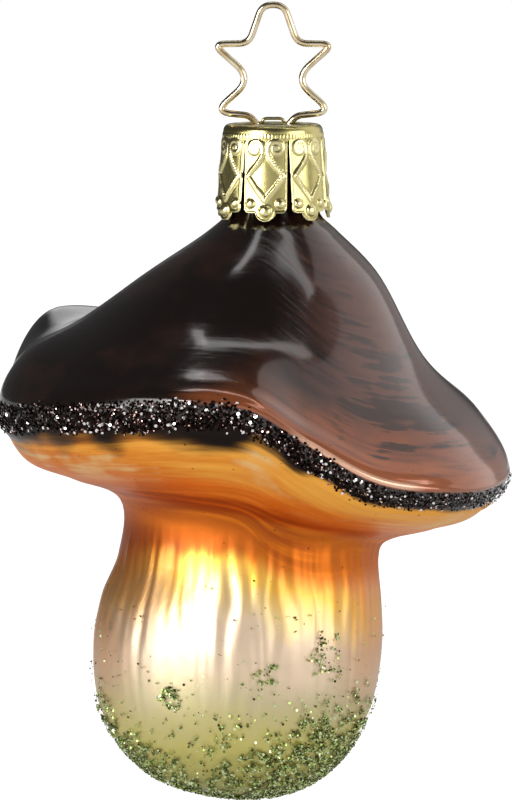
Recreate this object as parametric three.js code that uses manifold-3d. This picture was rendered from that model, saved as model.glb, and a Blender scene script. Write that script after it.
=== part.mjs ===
// A hanging glass mushroom ornament: a blown glass body, a stamped metal crown on its neck, a wire
// hanger bent into a star, and the glitter that is glued to the brim and to the foot of the stem.
// Millimetres, +Z up, +X to the viewer's right, -Y towards the viewer.
// The origin is the point inside the top of the star where a hook carries the ornament.
import * as THREE from "three";
import { mergeVertices } from "three/addons/utils/BufferGeometryUtils.js";
import Module from "manifold-3d";

const wasm = await Module();
wasm.setup();

// Driving dimensions of the wire hanger.
const WIRE_DIAMETER = 0.85;
const WIRE_SIDES = 8;
const STEPS_PER_RUN = 3;
const CROWN_BELOW_HOOK = 14.3; // from the hook to the top of the crown
const STAR_HALF_WIDTH = 7.5;
const STAR_BEND = 1.25; // from a point's corner to where its bend begins
// Corners of the star's right half, as shares: [of the half width, of the way to the crown, of the bend].
const STAR_CORNERS = [
  [0.4, 0.304, 1],
  [1, 0.31, 1.3],
  [0.35, 0.612, 2.1],
  [0.973, 0.9, 1.75],
];
const STAR_TOP_OUT = 1.35;
const SHOULDER_OUT = 2.9; // where the wire turns down to its hole
const SHOULDER_ABOVE_CROWN = 1.0;
const SHOULDER_BEND = 0.8;
const HOLE_OUT = 1.75;
const HOLE_BEND = 0.5;
const LEG_SPLAY_DEPTH = 4.7; // below the crown, where the legs reach the neck's wall
const LEG_BEND = 1.2;
const LEG_LENGTH = 14.2;
const LEG_CLEARANCE = 0.3;

// Driving dimensions of the stamped crown.
const SHEET = 0.35;
const PETALS = 7;
const PETAL_TURN = -8.5; // degrees from -Y to the middle of the front petal
const CROWN_HEIGHT = 10.7; // to the shoulders of the petals
const PETAL_LOBE = 1.05; // the middle lobe hangs this far below the shoulders
const PETAL_CORNER = 0.5;
const LOBE_HALF_WIDTH = 0.42; // as a share of half a petal
const SLIT_TOP_WIDTH = 0.22;
const SLIT_FOOT_WIDTH = 0.75;
const SLIT_BELOW_TOP = 1.7;
const CROWN_BEND = 0.85; // radius between the top and the skirt
const CROWN_FLARE = 0.75; // the skirt is this much wider at its foot
const CROWN_CLEARANCE = 0.4; // between skirt and neck
const SEAT_GAP = 0.3; // between the crown's top and the lip of the neck
const HOLE_CLEARANCE = 0.4;
const BRIDGE_WIDTH = 1.1;
const BRIDGE_RISE = 0.55;

// Driving dimensions of the glass. Depths are measured down from the lip of its neck.
const GLASS_WALL = 0.8;
const NECK_RADIUS = 5.45;
const NECK_LENGTH = 7.6;
const NECK_FLARE = 0.45; // at the foot of the crown
const COLLAR_FLARE = 2.25; // where the cap begins, just below the crown
const COLLAR_DEPTH = 12.4;
const COLLAR_RISE = 1.8; // between the crown's foot and the collar
const GLASS_HEIGHT = 83.65; // from the lip to the bottom of the stem
const CAP_REACH = 30; // from the neck's axis to the edge of the brim, before it waves
const BRIM_ROLL = 5.6; // from the edge of the brim up to its crest
const CREST_INSET = 3.0; // the crest stands this far in from the edge
// Sections of the cap, anticlockwise from +X: where the brim's edge and the dome behind its crest lie, as
// shares [of the reach, of the glass's height], and how much of the roll the crest stands above the edge.
const CAP_SECTIONS = [
  { azimuth: 0, edge: [0.98, 0.502], crest: 1, dome: [0.63, 0.34] },
  { azimuth: 30, edge: [1, 0.478], crest: 1, dome: [0.63, 0.337] },
  { azimuth: 60, edge: [0.983, 0.442], crest: 0.964, dome: [0.647, 0.323] },
  { azimuth: 90, edge: [0.983, 0.412], crest: 0.964, dome: [0.673, 0.311] },
  { azimuth: 122, edge: [1.067, 0.375], crest: 1, dome: [0.72, 0.301] },
  { azimuth: 150, edge: [1.173, 0.354], crest: 1.036, dome: [0.767, 0.292] },
  { azimuth: 172, edge: [1.13, 0.392], crest: 0.964, dome: [0.78, 0.283] },
  { azimuth: 192, edge: [1.137, 0.399], crest: 0.982, dome: [0.777, 0.274] },
  { azimuth: 218, edge: [1.067, 0.387], crest: 0.7, dome: [0.73, 0.274] },
  { azimuth: 244, edge: [1, 0.373], crest: 0.5, dome: [0.68, 0.285] },
  { azimuth: 264, edge: [0.953, 0.38], crest: 0.43, dome: [0.653, 0.3] },
  { azimuth: 279, edge: [0.94, 0.435], crest: 0.55, dome: [0.64, 0.32] },
  { azimuth: 296, edge: [0.973, 0.49], crest: 0.75, dome: [0.63, 0.335] },
  { azimuth: 320, edge: [1, 0.512], crest: 0.964, dome: [0.623, 0.342] },
  { azimuth: 342, edge: [0.987, 0.514], crest: 1, dome: [0.623, 0.343] },
];
const THROAT_RADIUS = 16.5; // where the underside meets the stem
const THROAT_LEVEL = 0.588; // as a share of the glass's height
const THROAT_OFFSET = -2.65;
const THROAT_LEAN = 3.4; // the throat lies this much deeper towards its low side
const THROAT_LOW_SIDE = 35;
const STEM_RADIUS = 18.1; // at its belly
const STEM_OFFSET = -4.7; // of its axis, towards +X
// Sections of the stem below the throat, as shares [of its radius, of the glass's height, of its offset].
const STEM_SECTIONS = [
  [0.9, 0.638, 0.64],
  [0.972, 0.705, 0.85],
  [1, 0.771, 0.94],
  [0.928, 0.874, 1],
  [0.641, 0.959, 0.94],
  [0.293, 0.9934, 0.74],
  [0, 1, 0.66],
];
const COLUMNS = 45;
const ROWS_PER_STATION = 2;

// Driving dimensions of the glued glitter.
const GLUE_GAP = 0.3;
const GLITTER = 0.45;
const BAND_WIDTH = 3.4;
const BAND_BELOW_EDGE = 0.6;
const BAND_ROWS = 3;
const MOSS_RISE = 5.5; // the bottom glitter climbs this far up the stem
const MOSS_SCALLOP = 1.6;
const MOSS_SCALLOPS = 7;
const MOSS_ROWS = 5;
const ISLAND_HEIGHT = 19; // the highest island's middle, above the bottom
const ISLAND_SIZE = 4.6; // half the width of the widest island
// Islands of glitter: azimuth in degrees, then shares [of the height, of the size across, of the size up].
const MOSS_ISLANDS = [
  [306, 0.56, 1, 0.565],
  [308, 1, 0.435, 0.522],
  [280, 0.937, 0.652, 0.283],
  [246, 0.76, 0.457, 0.261],
  [268, 0.521, 0.261, 0.391],
  [196, 0.605, 0.565, 0.826],
  [20, 0.684, 0.739, 0.739],
  [60, 0.816, 0.478, 0.391],
  [98, 0.605, 0.652, 0.565],
  [145, 0.705, 0.609, 0.565],
];
const ISLAND_SPOKES = 10;
const ISLAND_RINGS = 2;
const ISLAND_WAVE = 0.18;

// Sizes that follow from the driving ones.
const wireRadius = WIRE_DIAMETER / 2;
const boreRadius = NECK_RADIUS - GLASS_WALL;
const legOut = boreRadius - LEG_CLEARANCE - wireRadius;
const crownRadius = NECK_RADIUS + CROWN_CLEARANCE + SHEET;
const crownTop = -CROWN_BELOW_HOOK;
const lipHeight = crownTop - SHEET - SEAT_GAP;
const holeRadius = wireRadius + HOLE_CLEARANCE;
const collarRadius = NECK_RADIUS + COLLAR_FLARE;

const finish = {
  glass: new THREE.MeshStandardMaterial({ color: 0x4a2215, roughness: 0.15, metalness: 0.6 }),
  brass: new THREE.MeshStandardMaterial({ color: 0xd8c070, roughness: 0.25, metalness: 1 }),
  wire: new THREE.MeshStandardMaterial({ color: 0xe3c58c, roughness: 0.18, metalness: 1 }),
  brownGlitter: new THREE.MeshStandardMaterial({ color: 0x33211c, roughness: 0.4, metalness: 0.7 }),
  greenGlitter: new THREE.MeshStandardMaterial({ color: 0x7d9a5c, roughness: 0.4, metalness: 0.7 }),
};

const radians = THREE.MathUtils.degToRad;
const range = (count) => Array.from({ length: count }, (_, i) => i);

function namedMesh(name, geometry, material) {
  const mesh = new THREE.Mesh(geometry, material);
  mesh.name = name;
  return mesh;
}

// Closes two skins of grid points, skin[row][column], into one solid sheet. Cells that aren't present
// are left open, and a wall joins the skins wherever the sheet ends. Rows run down, columns anticlockwise.
function sheetSolid(outer, inner, present = () => true) {
  const rows = outer.length;
  const columns = outer[0].length;
  const positions = [...outer.flat(), ...inner.flat()].flatMap((p) => p.toArray());
  const at = (row, column, skin) => (skin * rows + row) * columns + (column % columns);
  const filled = (row, column) =>
    row >= 0 && row < rows - 1 && present(row, (column + columns) % columns);
  const faces = [];
  const quad = (a, b, c, d) => faces.push([a, b, c], [a, c, d]);
  for (const row of range(rows - 1)) {
    for (const column of range(columns)) {
      if (!filled(row, column)) continue;
      const loop = [[row, column], [row + 1, column], [row + 1, column + 1], [row, column + 1]];
      const beyond = [[row, column - 1], [row + 1, column], [row, column + 1], [row - 1, column]];
      quad(...loop.map(([r, c]) => at(r, c, 0)));
      quad(...loop.toReversed().map(([r, c]) => at(r, c, 1)));
      loop.forEach((p, side) => {
        if (filled(...beyond[side])) return;
        const q = loop[(side + 1) % 4];
        quad(at(...q, 0), at(...p, 0), at(...p, 1), at(...q, 1));
      });
    }
  }
  return welded(positions, faces.flat());
}

// Merges equal points and drops the triangles that a pole squeezes to nothing.
function welded(positions, index) {
  const raw = new THREE.BufferGeometry();
  raw.setAttribute("position", new THREE.Float32BufferAttribute(positions, 3));
  raw.setIndex(index);
  const merged = mergeVertices(raw);
  const corners = Array.from(merged.index.array);
  const kept = range(corners.length / 3)
    .map((k) => corners.slice(3 * k, 3 * k + 3))
    .filter(([a, b, c]) => a !== b && b !== c && c !== a);
  merged.setIndex(kept.flat());
  return merged;
}

function toSolid(geometry) {
  const plain = geometry.clone();
  plain.deleteAttribute("normal");
  plain.deleteAttribute("uv");
  const merged = mergeVertices(plain);
  return new wasm.Manifold(
    new wasm.Mesh({
      numProp: 3,
      vertProperties: new Float32Array(merged.attributes.position.array),
      triVerts: new Uint32Array(merged.index.array),
    }),
  );
}

function toGeometry(solid) {
  const mesh = solid.getMesh();
  const geometry = new THREE.BufferGeometry();
  geometry.setAttribute("position", new THREE.Float32BufferAttribute(mesh.vertProperties, 3));
  geometry.setIndex(Array.from(mesh.triVerts));
  return geometry;
}

// A bent wire: straight runs joined by round bends, each with the same number of steps.
class WireRoute extends THREE.CurvePath {
  constructor(corners) {
    super();
    let from = corners[0].point;
    corners.slice(1, -1).forEach(({ point, bend }, k) => {
      const before = point.clone().lerp(corners[k].point, bend / point.distanceTo(corners[k].point));
      const next = corners[k + 2].point;
      const after = point.clone().lerp(next, bend / point.distanceTo(next));
      this.add(new THREE.LineCurve3(from, before));
      this.add(new THREE.QuadraticBezierCurve3(before, point, after));
      from = after;
    });
    this.add(new THREE.LineCurve3(from, corners.at(-1).point));
  }

  getPoint(t) {
    const place = t * this.curves.length;
    const run = Math.min(Math.floor(place), this.curves.length - 1);
    return this.curves[run].getPoint(place - run);
  }

  getUtoTmapping(u) {
    return u;
  }
}

// The hanger is one wire: up from the end of one leg, round the star, and down into the other leg.
function starHanger() {
  const half = [
    [STAR_TOP_OUT, -wireRadius, STAR_BEND],
    ...STAR_CORNERS.map(([out, below, bend]) => [
      out * STAR_HALF_WIDTH,
      below * CROWN_BELOW_HOOK,
      bend * STAR_BEND,
    ]),
    [SHOULDER_OUT, CROWN_BELOW_HOOK - SHOULDER_ABOVE_CROWN, SHOULDER_BEND],
    [HOLE_OUT, CROWN_BELOW_HOOK + SHEET, HOLE_BEND],
    [legOut, CROWN_BELOW_HOOK + LEG_SPLAY_DEPTH, LEG_BEND],
    [legOut, CROWN_BELOW_HOOK + LEG_LENGTH, 0],
  ];
  const side = (sign) =>
    half.map(([out, below, bend]) => ({ point: new THREE.Vector3(sign * out, 0, -below), bend }));
  const route = new WireRoute([...side(-1).toReversed(), ...side(1)]);
  const section = new THREE.Shape(
    range(WIRE_SIDES).map((k) => {
      const turn = (2 * Math.PI * k) / WIRE_SIDES;
      return new THREE.Vector2(Math.cos(turn), Math.sin(turn)).multiplyScalar(wireRadius);
    }),
  );
  const geometry = new THREE.ExtrudeGeometry(section, {
    extrudePath: route,
    steps: route.curves.length * STEPS_PER_RUN,
  });
  return namedMesh("star_hanger", geometry, finish.wire);
}

// How far a petal's lower edge lies below its shoulders, from one side of the petal (-1) to the other (1).
function petalEdge(across) {
  const lobe = Math.max(0, 1 - (across / LOBE_HALF_WIDTH) ** 2);
  const corner = Math.max(0, (Math.abs(across) - 0.8) / 0.2);
  return PETAL_LOBE * Math.sqrt(lobe) - PETAL_CORNER * corner ** 2;
}

// The crown: a round top that bends into a skirt, which slits divide into flaring petals.
function crownCap() {
  const across = [-1, -0.8, -0.5, -0.36, -0.2, 0, 0.2, 0.36, 0.5, 0.8, 1];
  const pitch = (2 * Math.PI) / PETALS;
  const bendSteps = 3;
  const petalRows = 3;
  const slitRow = bendSteps + 2; // rows above this one are whole all round
  const rowPlace = (row, edge) => {
    if (row === 0) return { flat: 0 };
    if (row <= 1 + bendSteps) return { flat: 1, bend: (row - 1) / bendSteps };
    const down = (row - slitRow) / petalRows;
    return { flat: 1, bend: 1, drop: THREE.MathUtils.lerp(SLIT_BELOW_TOP, CROWN_HEIGHT + edge, down) };
  };
  const point = (row, petal, u, inset) => {
    const { flat, bend = 0, drop = CROWN_BEND } = rowPlace(row, petalEdge(u));
    const round = CROWN_BEND - inset;
    const down = (drop - CROWN_BEND) / (CROWN_HEIGHT - CROWN_BEND);
    const turn = (bend * Math.PI) / 2;
    const radius = (crownRadius - CROWN_BEND) * flat + round * Math.sin(turn) + CROWN_FLARE * down;
    const height = round * Math.cos(turn) - drop;
    const slit = THREE.MathUtils.lerp(SLIT_TOP_WIDTH, SLIT_FOOT_WIDTH, down) / crownRadius;
    const azimuth = radians(PETAL_TURN - 90) + petal * pitch + (u * (pitch - slit)) / 2;
    return new THREE.Vector3(radius * Math.cos(azimuth), radius * Math.sin(azimuth), height);
  };
  const skin = (inset) =>
    range(slitRow + petalRows + 1).map((row) =>
      range(PETALS).flatMap((petal) => across.map((u) => point(row, petal, u, inset))),
    );
  const isSlit = (row, column) => row >= slitRow && column % across.length === across.length - 1;
  const shell = sheetSolid(skin(0), skin(SHEET), (row, column) => !isSlit(row, column));
  let solid = toSolid(shell);
  for (const sign of [-1, 1]) {
    const drill = new THREE.CylinderGeometry(holeRadius, holeRadius, 6 * SHEET, 16);
    drill.rotateX(Math.PI / 2).translate(sign * (HOLE_OUT + SHEET / 2), 0, -SHEET / 2);
    solid = solid.subtract(toSolid(drill));
  }
  solid = solid.add(toSolid(bridge()));
  const mesh = namedMesh("crown_cap", toGeometry(solid), finish.brass);
  mesh.position.z = crownTop;
  return mesh;
}

// The strip that is lanced up out of the crown's top between the two wire holes.
function bridge() {
  const reach = HOLE_OUT - holeRadius - 0.05;
  const root = -SHEET / 2;
  const outline = new THREE.Shape();
  outline.moveTo(-reach, root);
  outline.lineTo(-reach + 0.4, BRIDGE_RISE);
  outline.lineTo(reach - 0.4, BRIDGE_RISE);
  outline.lineTo(reach, root);
  const strip = new THREE.ExtrudeGeometry(outline, { depth: BRIDGE_WIDTH, bevelEnabled: false });
  return strip.translate(0, 0, -BRIDGE_WIDTH / 2).rotateX(Math.PI / 2);
}

// The outside of the glass as a loft: meridians from the neck's lip over the dome, the crest and the wavy
// edge of the brim, under it, and down the stem to its bottom. around runs 0 to 1 anticlockwise from +X,
// and along runs 0 to 1 from the lip to the bottom.
function loftLine(placeOf) {
  const points = CAP_SECTIONS.map((section) => {
    const { reach, depth } = placeOf(section);
    const turn = radians(section.azimuth);
    return new THREE.Vector3(reach * Math.cos(turn), reach * Math.sin(turn), -depth);
  });
  return new THREE.CatmullRomCurve3(points, true, "centripetal");
}

const capPlace = ([out, down]) => ({ reach: out * CAP_REACH, depth: down * GLASS_HEIGHT });
const domeLine = loftLine(({ dome }) => capPlace(dome));
const crestLine = loftLine(({ edge, crest }) => {
  const { reach, depth } = capPlace(edge);
  return { reach: reach - CREST_INSET, depth: depth - crest * BRIM_ROLL };
});
const edgeLine = loftLine(({ edge }) => capPlace(edge));
const EDGE_STATION = 7;
const THROAT_STATION = 10;

// A point part of the way from one to another, with a share of its own for the way down.
function between(from, to, out, down) {
  const point = from.clone().lerp(to, out);
  point.z = THREE.MathUtils.lerp(from.z, to.z, down);
  return point;
}

function meridianStations(around) {
  const turn = THREE.MathUtils.euclideanModulo(around, 1);
  const [dome, crest, edge] = [domeLine, crestLine, edgeLine].map((line) => line.getPoint(turn));
  const azimuth = Math.atan2(edge.y, edge.x);
  const right = Math.cos(azimuth);
  const ring = (radius, depth, offset = 0) =>
    new THREE.Vector3(offset + radius * Math.cos(azimuth), radius * Math.sin(azimuth), -depth);
  const collar = ring(collarRadius, COLLAR_DEPTH);
  const lean = THROAT_LEAN * Math.cos(azimuth - radians(THROAT_LOW_SIDE));
  const throat = ring(THROAT_RADIUS, THROAT_LEVEL * GLASS_HEIGHT + lean, THROAT_OFFSET);
  return [
    ring(NECK_RADIUS, 0),
    ring(NECK_RADIUS, NECK_LENGTH),
    ring(NECK_RADIUS + NECK_FLARE, COLLAR_DEPTH - COLLAR_RISE),
    collar,
    between(collar, dome, 0.46, 0.39 - 0.06 * right),
    dome,
    crest,
    edge,
    between(edge, throat, 0.22 + 0.03 * right, 0.57),
    between(edge, throat, 0.6, 0.79),
    throat,
    ...STEM_SECTIONS.map(([out, down, aside]) =>
      ring(out * STEM_RADIUS, down * GLASS_HEIGHT, aside * STEM_OFFSET),
    ),
  ];
}

const STATIONS = meridianStations(0).length - 1;
const meridians = new Map();
function glassPoint(around, along) {
  if (!meridians.has(around)) {
    meridians.set(around, new THREE.CatmullRomCurve3(meridianStations(around), false, "centripetal"));
  }
  return meridians.get(around).getPoint(along);
}

// A point on the glass, moved out along the surface's normal.
function glassOffset(around, along, distance) {
  const step = 1e-3;
  const point = glassPoint(around, along);
  if (along > 1 - step) return point.add(new THREE.Vector3(0, 0, -distance));
  const east = glassPoint(around + step, along).sub(glassPoint(around - step, along));
  const above = glassPoint(around, Math.max(0, along - step));
  const south = glassPoint(around, Math.min(1, along + step)).sub(above);
  return point.addScaledVector(south.cross(east).normalize(), distance);
}

// A skin of the glass, or of a layer on it, as grid points at the given distance from its outside.
function skinOnGlass(alongRows, distance) {
  return alongRows.map((along) =>
    range(COLUMNS).map((column) => {
      const around = column / COLUMNS;
      return glassOffset(around, typeof along === "function" ? along(around) : along, distance);
    }),
  );
}

function glassBody() {
  const rows = range(STATIONS * ROWS_PER_STATION + 1).map((k) => k / (STATIONS * ROWS_PER_STATION));
  const solid = sheetSolid(skinOnGlass(rows, 0), skinOnGlass(rows, -GLASS_WALL));
  return namedMesh("glass_body", solid, finish.glass);
}

// Where the meridian at a place around has gone a distance down from a station.
function alongFrom(around, station, distance) {
  const step = 1 / (STATIONS * 60);
  let along = station / STATIONS;
  let left = distance;
  while (left > 0) {
    const length = glassPoint(around, along).distanceTo(glassPoint(around, along + step));
    along += step * Math.min(1, left / length);
    left -= length;
  }
  return along;
}

// Glitter glued along the brim, just under its edge, all the way round.
function rimGlitterBand() {
  const rows = range(BAND_ROWS + 1).map((row) => (around) =>
    alongFrom(around, EDGE_STATION, BAND_BELOW_EDGE + (BAND_WIDTH * row) / BAND_ROWS),
  );
  const solid = sheetSolid(skinOnGlass(rows, GLUE_GAP + GLITTER), skinOnGlass(rows, GLUE_GAP));
  return namedMesh("rim_glitter_band", solid, finish.brownGlitter);
}

// The place between low and high where a quantity that grows from one to the other reaches its target.
function solve(quantity, target, low, high) {
  const middle = (low + high) / 2;
  if (high - low < 1e-6) return middle;
  if (quantity(middle) < target) return solve(quantity, target, middle, high);
  return solve(quantity, target, low, middle);
}

// Where the meridian at a place around stands at a height above the bottom of the stem.
function alongAtHeight(around, height) {
  const depth = (along) => -glassPoint(around, along).z;
  return solve(depth, GLASS_HEIGHT - height, THROAT_STATION / STATIONS, 1);
}

// The place around the glass that lies at an azimuth.
function aroundAt(degrees) {
  const azimuth = (around) => {
    const edge = edgeLine.getPoint(around);
    return THREE.MathUtils.euclideanModulo(Math.atan2(edge.y, edge.x), 2 * Math.PI);
  };
  return solve(azimuth, radians(degrees), 0, 0.999);
}

// Glitter over the rounded bottom of the stem, with a scalloped upper edge.
function mossBase() {
  const edge = (around) =>
    alongAtHeight(around, MOSS_RISE + MOSS_SCALLOP * Math.cos(2 * Math.PI * MOSS_SCALLOPS * around));
  const rows = range(MOSS_ROWS + 1).map((row) => (around) =>
    THREE.MathUtils.lerp(edge(around), 1, row / MOSS_ROWS),
  );
  const solid = sheetSolid(skinOnGlass(rows, GLUE_GAP + GLITTER), skinOnGlass(rows, GLUE_GAP));
  return namedMesh("moss_base", solid, finish.greenGlitter);
}

// One island of glitter on the stem: a wavy disc whose spokes run out from its middle.
function mossIsland([azimuth, level, across, up], number) {
  const around = aroundAt(azimuth);
  const skin = (distance) =>
    range(ISLAND_RINGS + 1).map((ring) =>
      range(ISLAND_SPOKES).map((spoke) => {
        const turn = (2 * Math.PI * spoke) / ISLAND_SPOKES;
        const size = (ring / ISLAND_RINGS) * (1 + ISLAND_WAVE * Math.cos(3 * turn + number));
        const east = (across * ISLAND_SIZE * size * Math.cos(turn)) / (2 * Math.PI * STEM_RADIUS);
        const height = level * ISLAND_HEIGHT + up * ISLAND_SIZE * size * Math.sin(turn);
        return glassOffset(around + east, alongAtHeight(around + east, height), distance);
      }),
    );
  const solid = sheetSolid(skin(GLUE_GAP + GLITTER), skin(GLUE_GAP));
  return namedMesh(`moss_patch_${number + 1}`, solid, finish.greenGlitter);
}

const ornament = new THREE.Group();
const glassGroup = new THREE.Group();
glassGroup.position.z = lipHeight;
glassGroup.add(glassBody(), rimGlitterBand(), mossBase(), ...MOSS_ISLANDS.map(mossIsland));
ornament.add(starHanger(), crownCap(), glassGroup);

export default ornament;
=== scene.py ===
"""Dresses the glass mushroom ornament: lacquered glass, a stamped crown, a wire star and glued glitter."""
import logging
import math
import random
from collections.abc import Sequence
from dataclasses import dataclass
from enum import Enum
from typing import Any

import bmesh
import bpy
import numpy as np
from mathutils import Matrix, Vector, noise


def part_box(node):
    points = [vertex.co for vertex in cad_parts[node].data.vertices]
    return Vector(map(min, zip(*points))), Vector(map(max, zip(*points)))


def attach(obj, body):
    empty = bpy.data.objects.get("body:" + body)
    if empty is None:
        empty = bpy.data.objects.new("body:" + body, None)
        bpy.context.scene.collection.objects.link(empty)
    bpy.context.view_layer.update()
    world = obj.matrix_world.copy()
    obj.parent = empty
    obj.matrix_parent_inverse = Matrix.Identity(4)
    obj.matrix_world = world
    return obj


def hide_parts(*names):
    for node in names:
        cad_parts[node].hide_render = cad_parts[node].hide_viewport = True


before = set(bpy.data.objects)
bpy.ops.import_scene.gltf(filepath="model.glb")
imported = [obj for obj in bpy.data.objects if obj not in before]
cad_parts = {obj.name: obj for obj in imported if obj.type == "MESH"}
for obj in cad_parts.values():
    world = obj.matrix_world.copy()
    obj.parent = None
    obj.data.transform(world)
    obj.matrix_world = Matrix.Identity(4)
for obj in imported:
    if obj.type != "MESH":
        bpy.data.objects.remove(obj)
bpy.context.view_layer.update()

MM = 0.001
# Metres within which two corners are one, on the sheets and on the wire.
SEAM = 2e-6
TOUCH = 1e-7
Triple = tuple[float, float, float]
Colour = Triple
Span = tuple[float, float]
Window = tuple[Span, Span]
log = logging.getLogger("ornament")


class Body(Enum):
    """The bodies of the frame that pieces ride on."""

    HANGER = "hanger"
    CROWN = "crown"
    GLASS = "glass"


class Signal:
    """A value socket of a node tree, on which Python's operators add Math nodes."""

    def __init__(self, graph: "Graph", socket: bpy.types.NodeSocket) -> None:
        """Keeps the socket and the graph that its Math nodes go to."""
        self.graph = graph
        self.socket = socket

    def math(self, operation: str, *values: "Signal | float") -> "Signal":
        """Adds one Math node.

        Args:
            operation: The Math node's operation.
            values: Its inputs, in order.

        Returns:
            The node's result.
        """
        node = self.graph.node("ShaderNodeMath", {"operation": operation}, dict(enumerate(values)))
        return Signal(self.graph, node.outputs[0])

    def __add__(self, other: "Signal | float") -> "Signal":
        """self + other."""
        return self.math("ADD", self, other)

    def __radd__(self, other: float) -> "Signal":
        """other + self."""
        return self.math("ADD", other, self)

    def __sub__(self, other: "Signal | float") -> "Signal":
        """self - other."""
        return self.math("SUBTRACT", self, other)

    def __rsub__(self, other: float) -> "Signal":
        """other - self."""
        return self.math("SUBTRACT", other, self)

    def __mul__(self, other: "Signal | float") -> "Signal":
        """self * other."""
        return self.math("MULTIPLY", self, other)

    def __rmul__(self, other: float) -> "Signal":
        """other * self."""
        return self.math("MULTIPLY", other, self)

    def highest(self, other: "Signal | float") -> "Signal":
        """The larger of the two values."""
        return self.math("MAXIMUM", self, other)

    def size(self) -> "Signal":
        """The value without its sign."""
        return self.math("ABSOLUTE", self)

    def swing(self, reach: float) -> "Signal":
        """Noise about 0.5 as a swing of this reach about 0."""
        return reach * (self - 0.5)

    def window(self, start: Span, stop: Span) -> "Signal":
        """One smooth step times another, so that only what lies between them is 1."""
        return self.rise(*start) * self.rise(*stop)

    def rise(self, low: float, high: float) -> "Signal":
        """A smooth step.

        Args:
            low: Where it is 0.
            high: Where it is 1, which may be the smaller number.

        Returns:
            The step.
        """
        ends = {"Value": self, "From Min": low, "From Max": high}
        node = self.graph.node("ShaderNodeMapRange", {"interpolation_type": "SMOOTHSTEP"}, ends)
        return Signal(self.graph, node.outputs[0])


class Graph:
    """A node tree while it is being built."""

    def __init__(self, tree: bpy.types.NodeTree) -> None:
        """Takes over a tree and empties it."""
        self.tree = tree
        tree.nodes.clear()

    def node(
        self,
        kind: str,
        settings: dict[str, Any] | None = None,
        inputs: dict[str | int, Any] | None = None,
    ) -> bpy.types.Node:
        """Adds a node.

        Args:
            kind: The node's type.
            settings: Its properties, with "stops" for the stops of a colour ramp.
            inputs: Values, signals or sockets for its input sockets, by name or number.

        Returns:
            The node.
        """
        node = self.tree.nodes.new(kind)
        for key, value in (settings or {}).items():
            if key == "stops":
                self._set_stops(node.color_ramp, value)
            else:
                setattr(node, key, value)
        for key, value in (inputs or {}).items():
            socket = node.inputs[key]
            source = value.socket if isinstance(value, Signal) else value
            if isinstance(source, bpy.types.NodeSocket):
                self.tree.links.new(source, socket)
            elif socket.type == "RGBA":
                socket.default_value = (*source[:3], 1.0)
            else:
                socket.default_value = source
        return node

    @staticmethod
    def _set_stops(colours: bpy.types.ColorRamp, stops: Sequence[tuple[float, Colour]]) -> None:
        """Gives a colour ramp its stops.

        Args:
            colours: The ramp.
            stops: Places from 0 to 1 and their colours, in rising order.
        """
        while len(colours.elements) < len(stops):
            colours.elements.new(1.0)
        for element, (place, colour) in zip(colours.elements, stops):
            element.position = place
            element.color = (*colour, 1.0)

    def signal(self, node: bpy.types.Node, output: str | int = 0) -> Signal:
        """One output of a node as a signal."""
        return Signal(self, node.outputs[output])

    def place(self) -> bpy.types.NodeSocket:
        """Reads the Object coordinates.

        Returns:
            The coordinates in millimetres.
        """
        metres = self.node("ShaderNodeTexCoord").outputs["Object"]
        scaled = self.node("ShaderNodeVectorMath", {"operation": "SCALE"}, {0: metres, "Scale": 1 / MM})
        return scaled.outputs[0]

    def stretched(self, vector: bpy.types.NodeSocket, factors: Triple) -> bpy.types.NodeSocket:
        """A vector multiplied by a factor for each axis."""
        node = self.node("ShaderNodeVectorMath", {"operation": "MULTIPLY"}, {0: vector, 1: factors})
        return node.outputs[0]

    def cloud(
        self, vector: bpy.types.NodeSocket, scale: float, detail: float, roughness: float = 0.55
    ) -> Signal:
        """Noise between 0 and 1, about 0.5."""
        inputs = {"Vector": vector, "Scale": scale, "Detail": detail, "Roughness": roughness}
        return self.signal(self.node("ShaderNodeTexNoise", None, inputs))

    def bump(self, height: Signal, strength: float, depth: float) -> bpy.types.NodeSocket:
        """The normal of a height from 0 to 1 that stands for a depth in millimetres."""
        inputs = {"Strength": strength, "Distance": depth * MM, "Height": height}
        return self.node("ShaderNodeBump", None, inputs).outputs[0]

    def mix(self, share: Signal | float, first: Any, second: Any) -> bpy.types.NodeSocket:
        """A colour between two colours, each a tuple or a socket."""
        node = self.node("ShaderNodeMix", {"data_type": "RGBA"}, {0: share, 6: first, 7: second})
        return node.outputs[2]

    def attribute(self, name: str) -> Signal:
        """A number that the mesh carries."""
        return self.signal(self.node("ShaderNodeAttribute", {"attribute_name": name}), "Fac")

    def surface(self, inputs: dict[str, Any]) -> None:
        """Ends the tree with a Principled shader that has these inputs."""
        shader = self.node("ShaderNodeBsdfPrincipled", None, inputs)
        self.node("ShaderNodeOutputMaterial", None, {"Surface": shader.outputs[0]})


def new_material(name: str) -> tuple[bpy.types.Material, Graph]:
    """Makes a node material.

    Args:
        name: The material's name.

    Returns:
        The material, and the graph to fill it with.
    """
    material = bpy.data.materials.new(name)
    material.use_nodes = True
    return material, Graph(material.node_tree)


@dataclass(frozen=True)
class GlassPlace:
    """Where a point of the glass lies, in millimetres, and the noises of its lacquers there."""

    across: Signal
    height: Signal
    below: Signal
    strokes: Signal
    streaks: Signal
    cloud: Signal
    blotch: Signal


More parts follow.
